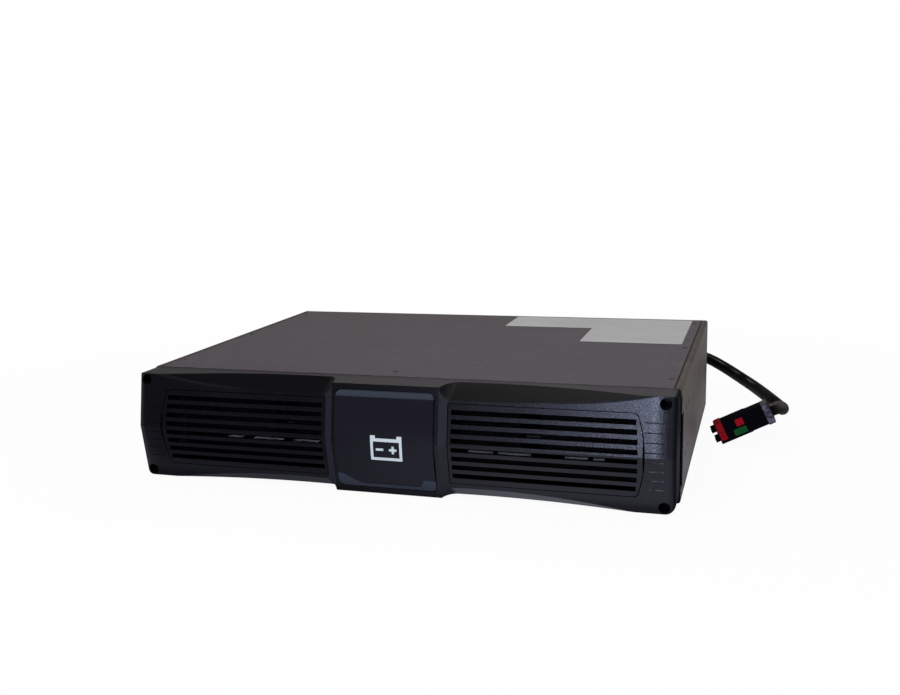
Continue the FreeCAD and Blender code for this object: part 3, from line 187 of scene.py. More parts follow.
class Paint(NodeBench):
    """Node tree of one material."""

    def __init__(self, name: str) -> None:
        """Make an empty material.

        Args:
            name: Name of the material.
        """
        self.material = bpy.data.materials.new(name)
        self.material.use_nodes = True
        super().__init__(self.material.node_tree)
        self.place = self.node("ShaderNodeTexCoord").outputs["Object"]
        self.along = self.split(self.place)
        self._facing: list[Signal] = []

    def facing(self, axis: int) -> Signal:
        """How far the surface faces one way.

        Args:
            axis: 0 for +X, 1 for +Y and 2 for +Z.

        Returns:
            1 where it faces that way, and -1 where it faces away.
        """
        if not self._facing:
            self._facing = self.split(self.node("ShaderNodeNewGeometry").outputs["True Normal"])
        return self._facing[axis]

    def noise(
        self, scale: float, detail: float = 2.0, rough: float = 0.5, stretch: Point | None = None,
    ) -> Signal:
        """Cloudy noise from about 0 to 1.

        Args:
            scale: Clouds per metre.
            detail: Octaves.
            rough: Weight of the finer octaves.
            stretch: Scale along each axis, for streaks.

        Returns:
            The noise.
        """
        vector = self.place
        if stretch is not None:
            vector = self.node("ShaderNodeMapping", None, {"Vector": vector, "Scale": stretch}).outputs[0]
        node = self.node("ShaderNodeTexNoise", None, {
            "Vector": vector, "Scale": scale, "Detail": detail, "Roughness": rough,
        })
        return Signal(self, node.outputs["Fac"])

    def cells(self, scale: float) -> Signal:
        """Distance to the nearest of scattered points, in cells."""
        node = self.node("ShaderNodeTexVoronoi", None, {"Vector": self.place, "Scale": scale})
        return Signal(self, node.outputs["Distance"])

    def mix(self, factor: Signal, first: "Colour | Socket", second: "Colour | Socket") -> Socket:
        """Colour between two others: the first at 0 and the second at 1."""
        node = self.node("ShaderNodeMix", {"data_type": "RGBA"}, {"Factor": factor, "A": first, "B": second})
        return next(socket for socket in node.outputs if socket.enabled)

    def cover(self, body: "Colour | Socket", *layers: tuple[Signal, Colour]) -> Socket:
        """Lay colours over a body colour.

        Args:
            body: The colour below.
            layers: Mask and colour of each layer, from below.

        Returns:
            The colour on top.
        """
        for mask, colour in layers:
            body = self.mix(mask, body, colour)
        return body

    def bump(self, height: Signal, strength: float, depth: float, under: Socket | None = None) -> Socket:
        """Surface relief.

        Args:
            height: Relief from 0 to 1.
            strength: Share of the relief that shows.
            depth: Height of the relief in metres.
            under: Normal of a coarser relief below this one.

        Returns:
            The normal.
        """
        sockets: dict[str | int, Any] = {"Strength": strength, "Distance": depth, "Height": height}
        if under is not None:
            sockets["Normal"] = under
        return self.node("ShaderNodeBump", None, sockets).outputs["Normal"]

    def surface(self, body: "Colour | Socket", rough: Value, **more: Any) -> Socket:
        """Add a surface shader.

        Args:
            body: Its base colour.
            rough: Its roughness.
            more: Its other inputs, with underscores for the spaces in their names.

        Returns:
            The shader.
        """
        inputs = {"Base Color": body, "Roughness": rough}
        inputs.update({key.replace("_", " "): value for key, value in more.items()})
        return self.node("ShaderNodeBsdfPrincipled", None, inputs).outputs[0]

    def between(self, factor: Signal, first: Socket, second: Socket) -> Socket:
        """Shader between two others: the first at 0 and the second at 1."""
        return self.node("ShaderNodeMixShader", None, {0: factor, 1: first, 2: second}).outputs[0]

    def close(self, shader: Socket) -> Material:
        """Give the material its shader."""
        self.node("ShaderNodeOutputMaterial", None, {"Surface": shader})
        return self.material

    def finish(self, body: Socket, rough: Value, specular: float, normal: Socket) -> Material:
        """Close the material with one surface shader of these inputs."""
        return self.close(self.surface(body, rough, Specular_IOR_Level=specular, Normal=normal))


def scaled(colour: Colour, amount: float) -> Colour:
    """A colour made darker or lighter by one factor."""
    return tuple(part * amount for part in colour)


@dataclass(frozen=True)
class Finish:
    """A procedural finish with a name and a body colour."""

    name: str
    colour: Colour

    def make(self) -> Material:
        """Build the material."""
        raise NotImplementedError

    def toned(self, amount: float) -> Colour:
        """The body colour made darker or lighter by one factor."""
        return scaled(self.colour, amount)


@dataclass(frozen=True)
class PowderCoat(Finish):
    """Fine-texture powder coat on folded sheet: drift, smears, a dark seam, rubbed folds, faint scuffs, and
    painted shade on the inner faces and on the front faces below the top.
    """

    rubbed: Colour
    half_width: float
    front: float
    rear: float
    height: float
    roughness: float = 0.5
    specular: float = 0.4
    drift: float = 0.10
    mottle: float = 0.18
    smear: float = 0.0
    grain: float = 1100.0
    seam: float = 214.4 * MM
    seam_reach: float = 0.85 * MM
    rub_reach: Span = (1.1 * MM, 0.2 * MM)
    mouth: Span = (84.0 * MM, 80.0 * MM)
    inside: Span = (1.0 * MM, 1.2 * MM)
    dark_seam_and_shade: Colour = (0.004, 0.003, 0.004)

    def depths(self, paint: Paint) -> tuple[Signal, Signal]:
        """Measure a point of the case from its outer faces.

        Args:
            paint: Tree of the material.

        Returns:
            Depth behind the box's nearest face, and distance to its nearest fold, both in metres.
        """
        across = self.half_width - abs(paint.along[0])
        middle, reach = (self.front + self.rear) / 2, (self.rear - self.front) / 2
        along = reach - abs(paint.along[1] - middle)
        up = self.height / 2 - abs(paint.along[2] - self.height / 2)
        near = across.lower(along)
        return near.lower(up), near.upper(across.upper(along).lower(up))

    def make(self) -> Material:
        """Build the material.

        Returns:
            The finished material.
        """
        paint = Paint(self.name)
        grain = paint.noise(self.grain, rough=0.6)
        pores = paint.noise(self.grain * 2.3, detail=1.0)
        clouds = paint.noise(7.0, detail=4.0, rough=0.6)
        scuffs = paint.noise(30.0, detail=3.0, rough=0.7, stretch=(1.0, 0.25, 3.0)).step(0.60, 0.72)
        blotches = paint.noise(210.0, rough=0.6)
        smears = paint.noise(60.0, detail=3.0, rough=0.65, stretch=(0.5, 1.0, 0.22)).step(0.42, 0.66)
        inner, fold = self.depths(paint)
        rub = fold.step(*self.rub_reach) * paint.noise(160.0, detail=3.0).step(0.35, 0.7)
        beside = abs(abs(paint.along[0]) - self.seam)
        gap = beside.step(self.seam_reach, 0.6 * self.seam_reach) * paint.facing(2).step(0.5, 0.8)
        # Painted shade: front-facing faces below the top and all faces inside the sheet take the dark seam
        # colour.
        painted_inner_shade = paint.facing(1).step(-0.5, -0.8) * paint.along[2].step(*self.mouth)
        painted_inner_shade = painted_inner_shade.upper(inner.step(*self.inside))
        tone = clouds.sway(2.0 * self.drift) + grain.sway(0.7) + blotches.sway(0.7) + 0.5
        body = paint.cover(
            paint.mix(tone.step(0.2, 0.8), self.toned(1 - self.mottle), self.toned(1 + self.mottle)),
            (smears * self.smear, self.toned(0.35)), (rub * 0.6, self.rubbed), (scuffs * 0.16, self.rubbed),
            (gap.upper(painted_inner_shade), self.dark_seam_and_shade),
        )
        rough = self.roughness + clouds.sway(0.16) + pores.sway(0.14) - rub * 0.12
        relief = paint.bump(grain * 0.7 + pores * 0.3, strength=0.35, depth=0.12 * MM)
        return paint.finish(body, rough, self.specular, relief)


@dataclass(frozen=True)
class SparkPlastic(Finish):
    """Dark spark-eroded moulding: polished scoops whose tails are painted in shade and rough, painted light
    on the top and side faces and on score lines, and a darker rough copy as painted shade on slot walls and
    cheeks.
    """

    light: Colour
    shaded: bool = False
    crease: float = -180.504 * MM
    slope: float = 7.5 / 43.6
    middle: float = 44.0 * MM
    grain: float = 700.0
    roughness: float = 0.29
    polish: float = 0.26
    specular: float = 0.2
    # Painted light on the side faces.
    flank_light: Colour = (0.0105, 0.0105, 0.0155)
    # Painted light: up-facing faces take this lighter colour, as if lit from above.
    strip: Colour = (0.0118, 0.0066, 0.0100)
    shade: Colour = (0.0025, 0.0025, 0.0028)
    # Painted highlight on the shallow score lines, as if lit from above.
    lip_highlight: Colour = (0.08, 0.08, 0.085)
    lip_heights: tuple[Span, Span] = ((12.0 * MM, 13.5 * MM), (43.5 * MM, 42.5 * MM))
    lip_sides: tuple[Span, Span] = ((199.5 * MM, 200.5 * MM), (211.5 * MM, 210.5 * MM))
    turn_start: float = 200.5 * MM
    turn_radius: float = 55.0 * MM
    tail_start: float = 125.0 * MM
    tail_low: float = 78.9 * MM
    tail_rise: float = 1.35
    roll_front: Span = (-165.5 * MM, -170.5 * MM)
    roll_side: Span = (100.0 * MM, 120.0 * MM)
    cheek_side: Span = (200.0 * MM, 208.0 * MM)
    cheek_share: float = 0.97
    wall_depth: Span = (0.6 * MM, 2.0 * MM)
    wall_roughness: float = 0.9
    wall_specular: float = 0.02

    def depth(self, paint: Paint) -> Signal:
        """Distance behind the creased face, in metres."""
        return paint.along[1] - self.crease - abs(paint.along[2] - self.middle) * self.slope

    def tails(self, paint: Paint) -> Signal:
        """Find the scoops' tails, which run out along the top edge of the creased face and are painted in
        shade.

        Args:
            paint: Tree of the material.

        Returns:
            Their mask.
        """
        away = abs(paint.along[0])
        over = (away - self.tail_start).upper(0.0)
        edge = over * over * self.tail_rise + self.tail_low
        mask = (paint.along[2] - edge).step(-0.3 * MM, 0.5 * MM) * paint.facing(1).step(-0.7, -0.9)
        return mask * away.step(self.tail_start - 6.0 * MM, self.tail_start)

    def lip_highlights(self, paint: Paint) -> Signal:
        """Mask of a painted highlight, broken up by noise, on the score lines in the lower half of the right
        wing's end.
        """
        wear_and_light = self.depth(paint).step(0.08 * MM, 0.3 * MM) * paint.noise(170.0).step(0.38, 0.6)
        return wear_and_light * paint.along[2].band(*self.lip_heights) * paint.along[0].band(*self.lip_sides)

    def roll(self, paint: Paint) -> Socket:
        """Normal that turns the ends of the front softly towards the cheeks."""
        over = (abs(paint.along[0]) - self.turn_start).upper(0.0) * paint.facing(1).step(-0.5, -0.8)
        return paint.bump(over * over * (-0.5 / self.turn_radius), strength=1.0, depth=1.0)

    def make(self) -> Material:
        """Build the material.

        Returns:
            The finished material.
        """
        paint = Paint(self.name)
        sparks = paint.noise(self.grain, rough=0.65)
        fine = paint.noise(self.grain * 2.2, detail=1.0)
        clouds = paint.noise(11.0, detail=3.0)
        away, up, turned = abs(paint.along[0]), abs(paint.facing(2)), abs(paint.facing(0))
        lean = up.band((0.55, 0.75), (0.99, 0.96))
        flat = 1.0 - lean
        level = up.step(0.96, 0.99)
        # Painted light: side faces are lighter, fully where they face left and a quarter where they face
        # right.
        side = turned.band((0.08, 0.2), (0.9, 0.7)) * up.step(0.5, 0.35)
        flank_light = side * paint.facing(0).step(-0.1, 0.1, 1.0, 0.25)
        corner = turned.step(0.15, 0.3) * up.step(0.15, 0.3)
        # Near the front of the outer top faces the painted top light is left off, as if the edge turned down.
        unlit_strip_front = paint.along[1].step(*self.roll_front) * away.step(*self.roll_side)
        # Painted shade: the scoops' tails take the dark shade colour and more roughness.
        matt_shade = self.tails(paint)
        tone = sparks.sway(0.9) + clouds.sway(0.5) + 0.5
        body = paint.cover(
            paint.mix(tone.step(0.15, 0.95), self.toned(0.8), self.light), (lean * 0.7, self.toned(0.9)),
            (flank_light, self.flank_light), (level * (1.0 - unlit_strip_front), self.strip), (matt_shade, self.shade),
            (self.lip_highlights(paint), self.lip_highlight),
        )
        grainy = self.roughness + fine.sway(0.3) + clouds.sway(0.1)
        rough = grainy * flat + lean * self.polish + level * 0.2 + side * 0.3 + (matt_shade + corner) * 0.4
        relief = (sparks * 0.7 + fine * 0.3) * (flat * 0.92 + 0.08)
        normal = paint.bump(relief, strength=0.6, depth=0.26 * MM, under=self.roll(paint))
        skin = paint.surface(body, rough, Specular_IOR_Level=self.specular, Normal=normal)
        # Painted shade: a darker, rough copy of the moulding on slot walls deep behind the face, or on the
        # cheeks.
        shaded_copy = paint.surface(self.toned(0.5), self.wall_roughness, Specular_IOR_Level=self.wall_specular)
        cheek = turned.step(0.3, 0.9) * away.step(*self.cheek_side)
        painted_shade_share = self.depth(paint).step(*self.wall_depth) if self.shaded else cheek * self.cheek_share
        return paint.close(paint.between(painted_shade_share, skin, shaded_copy))


@dataclass(frozen=True)
class GlossPanel(Finish):
    """Polished dark panel with a semi-gloss band at head and foot that carries a painted reflection, a faint
    flow pattern and wipe marks.
    """

    satin: Colour
    roughness: float = 0.09
    specular: float = 0.09
    head: float = 78.4 * MM
    foot: float = 8.6 * MM
    left_rise: tuple[float, ...] = (-18.0 * MM, -40.0 * MM, 0.0, 8.0 * MM)
    right_rise: tuple[float, ...] = (27.5 * MM, 31.0 * MM, 0.0, 6.0 * MM)
    dust: Colour = (0.25, 0.25, 0.25)

    def rough_reflection_band(self, paint: Paint) -> Signal:
        """Find the semi-gloss bands at the head and at the foot, painted with a reflection, where the band
        rises into both corners.

        Args:
            paint: Tree of the material.

        Returns:
            Their mask.
        """
        across, height = paint.along[0], paint.along[2]
        rise = across.step(*self.left_rise) + across.step(*self.right_rise)
        low = (rise + self.foot - height).step(-0.5 * MM, 0.8 * MM)
        return low.upper(height.step(self.head - 0.8 * MM, self.head + 0.5 * MM))

    def make(self) -> Material:
        """Build the material.

        Returns:
            The finished material.
        """
        paint = Paint(self.name)
        rough_reflection_band = self.rough_reflection_band(paint)
        flow = paint.noise(9.0, detail=3.0)
        wipes = paint.noise(120.0, stretch=(0.15, 1.0, 1.6))
        dust = paint.cells(420.0).step(0.16, 0.08) * paint.noise(60.0).step(0.5, 0.8)
        body = paint.mix(flow, self.toned(0.85), self.toned(1.2))
        # Painted reflection: the bands at head and foot take a pale bluish colour.
        body = paint.cover(body, (dust * 0.12, self.dust), (rough_reflection_band, self.satin))
        rough = self.roughness + wipes.sway(0.06) + dust * 0.2 + rough_reflection_band * 0.3
        return paint.finish(body, rough, self.specular, paint.bump(flow, strength=0.05, depth=0.4 * MM))


@dataclass(frozen=True)
class MouldedPlastic(Finish):
    """Plain moulded plastic with fine grain and slight tone drift."""

    roughness: float = 0.45
    specular: float = 0.45
    grain: float = 900.0
    relief: float = 0.25

    def make(self) -> Material:
        """Build the material.

        Returns:
            The finished material.
        """
        paint = Paint(self.name)
        grain = paint.noise(self.grain)
        clouds = paint.noise(45.0, detail=3.0)
        tone = clouds * 0.7 + grain * 0.3
        body = paint.mix(tone.step(0.25, 0.75), self.toned(0.82), self.toned(1.18))
        rough = self.roughness + grain.sway(0.2) + clouds.sway(0.12)
        normal = paint.bump(grain, strength=self.relief, depth=0.12 * MM)
        return paint.finish(body, rough, self.specular, normal)


@dataclass(frozen=True)
class PlatedMetal(Finish):
    """Bright plated sheet or turned metal with drawn streaks and a light tarnish."""

    tarnish: Colour
    roughness: float = 0.3

    def make(self) -> Material:
        """Build the material.

        Returns:
            The finished material.
        """
        paint = Paint(self.name)
        streaks = paint.noise(260.0, stretch=(0.06, 1.0, 1.0))
        flowers = paint.cells(90.0)
        stain = paint.noise(24.0, detail=4.0, rough=0.6)
        body = paint.cover(
            self.colour, (stain.step(0.45, 0.75) * 0.6, self.tarnish), (flowers * 0.25, self.toned(0.7)),
        )
        rough = self.roughness + streaks.sway(0.22) + stain * 0.12
        normal = paint.bump(streaks, strength=0.12, depth=0.08 * MM)
        return paint.close(paint.surface(body, rough, Metallic=1.0, Normal=normal))


@dataclass(frozen=True)
class SheetEdge(Finish):
    """Black paint on sheet, kept near black as painted shade inside the case, whose sheared upper edge is
    bare along a few runs and painted near white there as a highlight.
    """

    bare: Colour
    runs: Sequence[Span]
    roughness: float = 0.6
    specular: float = 0.04
    top: float = 28.6 * MM
    fade: float = 0.6 * MM

    def make(self) -> Material:
        """Build the material.

        Returns:
            The finished material.
        """
        paint = Paint(self.name)
        grain = paint.noise(900.0)
        wear = paint.noise(90.0, stretch=(1.0, 0.0, 0.0)).step(0.2, 0.6, 0.5, 1.0)
        across, fade = paint.along[0], self.fade
        run = across * 0.0
        for start, end in self.runs:
            run = run.upper(across.band((start - fade, start + fade), (end + fade, end - fade)))
        # Painted highlight: the bare runs of the edge take a near-white colour.
        edge = paint.along[2].step(self.top - 0.75 * MM, self.top - 0.5 * MM) * run * wear
        wear_and_light = edge * grain.step(0.5, 0.8) * 0.5
        body = paint.cover(self.colour, (edge, self.bare), (wear_and_light, scaled(self.bare, 0.5)))
        rough = self.roughness + grain.sway(0.2) - edge * 0.25
        return paint.finish(body, rough, self.specular, paint.bump(grain, strength=0.2, depth=0.1 * MM))


@dataclass(frozen=True)
class RubberJacket(Finish):
    """Extruded cable jacket with talc, a painted highlight line along its top, and painted light on top where
    it is bent hard.
    """

    # The talc colour also serves the painted highlights.
    talc: Colour
    roughness: float = 0.42
    specular: float = 0.005
    bend: Point = (0.0, 0.0, 0.0)
    bend_reach: float = 0.0

    def make(self) -> Material:
        """Build the material.

        Returns:
            The finished material.
        """
        paint = Paint(self.name)
        skin = paint.noise(500.0)
        talc = paint.noise(38.0, detail=4.0, rough=0.65).step(0.52, 0.78)
        up = paint.facing(2)
        # Painted highlight: a broken pale line along the upper side.
        ridge_highlight = up.band((0.72, 0.80), (0.94, 0.88)) * paint.noise(18.0, detail=1.0).step(0.36, 0.52)
        pale = (talc * 0.15).upper(ridge_highlight * 0.7)
        # Painted light: around the hard bend the jacket turns pale, most on its upper side.
        if self.bend_reach > 0.0:
            away = [(along - place) ** 2.0 for along, place in zip(paint.along, self.bend)]
            wear_and_light = ((away[0] + away[1] + away[2]) ** 0.5).step(self.bend_reach, 0.5 * self.bend_reach)
            pale = pale.upper(wear_and_light * (up.step(-0.3, 0.9, 0.1, 0.6) + skin * 0.2))
        body = paint.mix(pale, self.colour, self.talc)
        rough = self.roughness + skin.sway(0.2) + talc * 0.16
        return paint.finish(body, rough, self.specular, paint.bump(skin, strength=0.18, depth=0.1 * MM))


@dataclass(frozen=True)
class CellFoam(Finish):
    """Closed-cell foam strip."""

    roughness: float = 0.9
    specular: float = 0.2

    def make(self) -> Material:
        """Build the material.

        Returns:
            The finished material.
        """
        paint = Paint(self.name)
        cells = paint.cells(900.0)
        body = paint.mix(cells.step(0.1, 0.6), self.toned(0.6), self.toned(1.15))
        rough = self.roughness - cells * 0.1
        return paint.finish(body, rough, self.specular, paint.bump(cells, strength=0.5, depth=0.3 * MM))


@dataclass(frozen=True)
class LabelFilm(Finish):
    """Bare satin film with soft clouds, faint long streaks and, where it is handled, dark mottling."""

    roughness: float = 0.42
    specular: float = 0.4
    mottle: float = 0.0

    def make(self) -> Material:
        """Build the material.

        Returns:
            The finished material.
        """
        paint = Paint(self.name)
        streaks = paint.noise(90.0, detail=3.0, rough=0.6, stretch=(0.12, 1.0, 1.0))
        clouds = paint.noise(14.0, detail=3.0)
        stains = paint.noise(240.0).step(0.38, 0.54)
        tone = streaks * 0.55 + clouds * 0.45
        body = paint.mix(tone.step(0.3, 0.7), self.toned(0.88), self.toned(1.08))
        body = paint.cover(body, (stains * self.mottle, self.toned(0.2)))
        rough = self.roughness + clouds.sway(0.14)
        return paint.finish(body, rough, self.specular, paint.bump(streaks, strength=0.06, depth=0.1 * MM))


@dataclass(frozen=True)
class SignInk(Finish):
    """White screen-print ink with slightly uneven cover."""

    roughness: float = 0.45
    specular: float = 0.4

    def make(self) -> Material:
        """Build the material.

        Returns:
            The finished material.
        """
        paint = Paint(self.name)
        mesh = paint.noise(900.0)
        body = paint.mix(mesh.step(0.25, 0.75), self.toned(0.88), self.colour)
        rough = self.roughness + mesh.sway(0.2)
        return paint.finish(body, rough, self.specular, paint.bump(mesh, strength=0.1, depth=0.05 * MM))


def link(name: str, data: bpy.types.ID) -> Piece:
    """Add data to the scene as an object at the origin.

    Args:
        name: Name of the object.
        data: Its mesh, curve, lamp or camera.

    Returns:
        The new object.
    """
    added = bpy.data.objects.new(name, data)
    bpy.context.scene.collection.objects.link(added)
    return added


def to_object(name: str, mesh: bpy.types.Mesh, material: Material) -> Piece:
    """Link a finished mesh as an object at the origin.

    Args:
        name: Name of the piece.
        mesh: Its mesh, with its place in the vertices.
        material: Its finish.

    Returns:
        The new object.
    """
    mesh.materials.clear()
    mesh.materials.append(material)
    log.info("piece %s: %d faces", name, len(mesh.polygons))
    return link(name, mesh)


def to_mesh(name: str, shape: bmesh.types.BMesh) -> bpy.types.Mesh:
    """Turn an edited shape into a mesh and free it.

    Args:
        name: Name of the mesh.
        shape: The shape.

    Returns:
        The new mesh.
    """
    mesh = bpy.data.meshes.new(name)
    shape.to_mesh(mesh)
    shape.free()
    return mesh


def dress(nodes: Sequence[str], finish: Finish) -> None:
    """Give carried-over nodes a finish.

    Args:
        nodes: Names of the nodes.
        finish: Their finish.
    """
    material = finish.make()
    for name in nodes:
        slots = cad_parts[name].material_slots
        if len(slots) == 0:
            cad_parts[name].data.materials.append(material)
        for slot in slots:
            slot.link = "OBJECT"
            slot.material = material
        log.info("dressed %s with %s", name, material.name)


class Head(Enum):
    """Form of a screw's head."""

    FLUSH = "flush"
    PAN = "pan"


@dataclass
class ScrewSet:
    """Cross-recess screws of one row, set on points by a node tree."""

    name: str
    node: str
    slot: str
    head: Head
    axis: Point
    places: Sequence[Point]
    head_radius: float
    head_height: float
    shank_radius: float
    shank_length: float
    recess_width: float = 0.8 * MM
    recess_reach: float = 3.0 * MM
    recess_depth: float = 1.2 * MM
    overlap: float = 0.05 * MM
    rim_taper: float = 0.97
    rim_share: float = 0.55
    crown_taper: float = 0.62
    crown_share: float = 0.45
    crown_seat: float = 0.549
    flush_taper: float = 0.55
    sides: int = 32
    seed: int = 7

    def sizes(self) -> dict[str, float]:
        """The tree's named sizes and their values."""
        return {
            "Head Radius": self.head_radius, "Head Height": self.head_height,
            "Shank Radius": self.shank_radius, "Shank Length": self.shank_length,
            "Recess Width": self.recess_width, "Recess Reach": self.recess_reach,
            "Recess Depth": self.recess_depth,
        }

    def tree(self, material: Material) -> bpy.types.GeometryNodeTree:
        """Node tree that puts one screw on each point.

        Args:
            material: Finish of the screws.

        Returns:
            The tree, with its sizes as named inputs.
        """
        group = bpy.data.node_groups.new(f"{self.name}_tree", "GeometryNodeTree")
        bench = NodeBench(group)
        inputs = {"Points": "Geometry", **dict.fromkeys(self.sizes(), "Float"), "Axis": "Vector"}
        for label, kind in inputs.items():
            group.interface.new_socket(label, in_out="INPUT", socket_type=f"NodeSocket{kind}")
        group.interface.new_socket("Screws", in_out="OUTPUT", socket_type="NodeSocketGeometry")
        given = bench.node("NodeGroupInput").outputs
        size = {socket.name: Signal(bench, socket) for socket in given if socket.type == "VALUE"}

        def lifted(shape: Socket, height: Value) -> Socket:
            """A shape moved along the screw's own axis."""
            offset = bench.node("ShaderNodeCombineXYZ", None, {"Z": height}).outputs[0]
            return bench.node(
                "GeometryNodeTransform", None, {"Geometry": shape, "Translation": offset},
            ).outputs[0]

        def cone(low: Value, high: Value, depth: Signal) -> Socket:
            """A cone frustum that stands on the screw's own origin."""
            return bench.node("GeometryNodeMeshCone", None, {
                "Vertices": self.sides, "Radius Bottom": low, "Radius Top": high, "Depth": depth,
            }).outputs["Mesh"]

        def boolean(operation: str, tools: Sequence[Socket], base: dict[str, Socket]) -> Socket:
            """Join solids, or cut them from a base.

            Args:
                operation: UNION or DIFFERENCE.
                tools: The solids.
                base: The first input where there is a base.

            Returns:
                The result.
            """
            made = bench.node("GeometryNodeMeshBoolean", {"operation": operation}, base)
            for tool in tools:
                group.links.new(tool, made.inputs["Mesh 2"])
            return made.outputs[0]

        radius, height = size["Head Radius"], size["Head Height"]
        if self.head is Head.PAN:
            rim = cone(radius, radius * self.rim_taper, height * self.rim_share)
            crown = cone(radius * self.rim_taper, radius * self.crown_taper, height * self.crown_share)
            solids = [rim, lifted(crown, height * self.crown_seat)]
            top = height
        else:
            solids = [lifted(cone(radius * self.flush_taper, radius, height), height * -1.0)]
            top = height * 0.0
        shank = cone(size["Shank Radius"], size["Shank Radius"], size["Shank Length"])
        solids.append(lifted(shank, size["Shank Length"] * -1.0 + self.overlap))
        arms = []
        reach, width = size["Recess Reach"], size["Recess Width"]
        for across, along in ((reach, width), (width, reach)):
            extent = bench.node("ShaderNodeCombineXYZ", None, {
                "X": across, "Y": along, "Z": size["Recess Depth"] * 2.0,
            }).outputs[0]
            cube = bench.node("GeometryNodeMeshCube", None, {"Size": extent}).outputs["Mesh"]
            arms.append(lifted(cube, top))
        screw = boolean("DIFFERENCE", arms, {"Mesh 1": boolean("UNION", solids, {})})
        turn = bench.node("FunctionNodeAlignRotationToVector", {"axis": "Z"}, {"Vector": given["Axis"]})
        index = bench.node("GeometryNodeInputIndex").outputs[0]
        spin = bench.node("FunctionNodeRandomValue", {"data_type": "FLOAT"}, {
            "Min": 0.0, "Max": math.pi, "ID": index, "Seed": self.seed,
        })
        angle = next(socket for socket in spin.outputs if socket.enabled)
        local = bench.node("ShaderNodeCombineXYZ", None, {"Z": angle}).outputs[0]
        spots = bench.node("GeometryNodeInstanceOnPoints", None, {
            "Points": given["Points"], "Instance": screw, "Rotation": turn.outputs[0],
        }).outputs[0]
        spots = bench.node("GeometryNodeRotateInstances", None, {
            "Instances": spots, "Rotation": local, "Local Space": True,
        }).outputs[0]
        solid = bench.node("GeometryNodeRealizeInstances", None, {"Geometry": spots}).outputs[0]
        dressed = bench.node("GeometryNodeSetMaterial", None, {"Geometry": solid, "Material": material})
        bench.node("NodeGroupOutput", None, {"Screws": dressed.outputs[0]})
        return group

    def build(self, material: Material) -> Piece:
        """Make the row of screws as one plain mesh in place of its node.

        Args:
            material: Finish of the screws.

        Returns:
            The finished piece.
        """
        points = bpy.data.meshes.new(f"{self.name}_points")
        points.from_pydata([Vector(place) for place in self.places], [], [])
        carrier = link(f"{self.name}_carrier", points)
        modifier = carrier.modifiers.new("screws", "NODES")
        group = self.tree(material)
        modifier.node_group = group
        values = {**self.sizes(), "Axis": self.axis}
        for item in group.interface.items_tree:
            if item.in_out == "INPUT" and item.name in values:
                modifier[item.identifier] = values[item.name]
        carrier.update_tag()
        graph = bpy.context.evaluated_depsgraph_get()
        mesh = bpy.data.meshes.new_from_object(carrier.evaluated_get(graph))
        carrier.modifiers.remove(modifier)
        bpy.data.objects.remove(carrier)
        piece = to_object(self.name, mesh, material)
        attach(piece, BODY)
        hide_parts(self.node)
        return piece


@dataclass
class Label:
    """A bare label on the cover: a thin plate with rounded corners."""

    name: str
    left: float
    front: float
    rear: float
    base: float
    right: float = 205.5 * MM
    gauge: float = 0.16 * MM
    corner: float = 1.2 * MM
    arc_steps: int = 5

    def outline(self) -> list[tuple[float, float]]:
        """Go round the label's edge in plan, the left way round.

        Returns:
            The points of its rounded corners.
        """
        left, right = self.left + self.corner, self.right - self.corner
        front, rear = self.front + self.corner, self.rear - self.corner
        points = []
        for corner, (x, y) in enumerate(((right, rear), (left, rear), (left, front), (right, front))):
            for step in range(self.arc_steps + 1):
                turn = math.radians(90.0 * corner + 90.0 * step / self.arc_steps)
                points.append((x + self.corner * math.cos(turn), y + self.corner * math.sin(turn)))
        return points

    def build(self, material: Material) -> Piece:
        """Make the label.

        Args:
            material: Finish of the film.

        Returns:
            The finished piece.
        """
        shape = bmesh.new()
        ring = [shape.verts.new((x, y, self.base)) for x, y in self.outline()]
        face = shape.faces.new(ring)
        grown = bmesh.ops.extrude_face_region(shape, geom=[face])
        upper = [item for item in grown["geom"] if isinstance(item, bmesh.types.BMVert)]
        bmesh.ops.translate(shape, vec=(0.0, 0.0, self.gauge), verts=upper)
        bmesh.ops.recalc_face_normals(shape, faces=shape.faces)
        piece = to_object(self.name, to_mesh(self.name, shape), material)
        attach(piece, BODY)
        return piece


@dataclass
class SteelCase:
    """Folded case, cover, rear panel and front rail, with two bare labels on the cover."""

    half_width: float = 220.0 * MM
    height: float = 88.0 * MM
    front: float = -145.504 * MM
    rear: float = 159.496 * MM

    def coat(self, name: str, colour: Colour, rubbed: Colour, **more: float) -> PowderCoat:
        """A powder coat that knows where the case's folds are, with other values of the coat in more."""
        return PowderCoat(name, colour, rubbed, self.half_width, self.front, self.rear, self.height, **more)

    def build(self) -> list[Piece]:
        """Dress the sheet metal and add the labels.

        Returns:
            The labels.
        """
        case = self.coat(
            "case_powder_coat", (0.080, 0.062, 0.051), (0.15, 0.135, 0.12), roughness=0.6, specular=0.08,
            drift=0.35, smear=0.3,
        )
        cover = self.coat("cover_powder_coat", (0.067, 0.056, 0.063), (0.12, 0.11, 0.11), specular=0.1)
        dress(["chassis_tray", "front_rail", "rear_panel"], case)
        dress(["top_cover"], cover)
        film = LabelFilm("label_film", (0.39, 0.385, 0.385)).make()
        labels = (
            Label("label_rear", left=27.5 * MM, front=97.6 * MM, rear=155.0 * MM, base=self.height),
            Label("label_front", left=114.5 * MM, front=26.5 * MM, rear=97.2 * MM, base=self.height),
        )
        return [label.build(film) for label in labels]


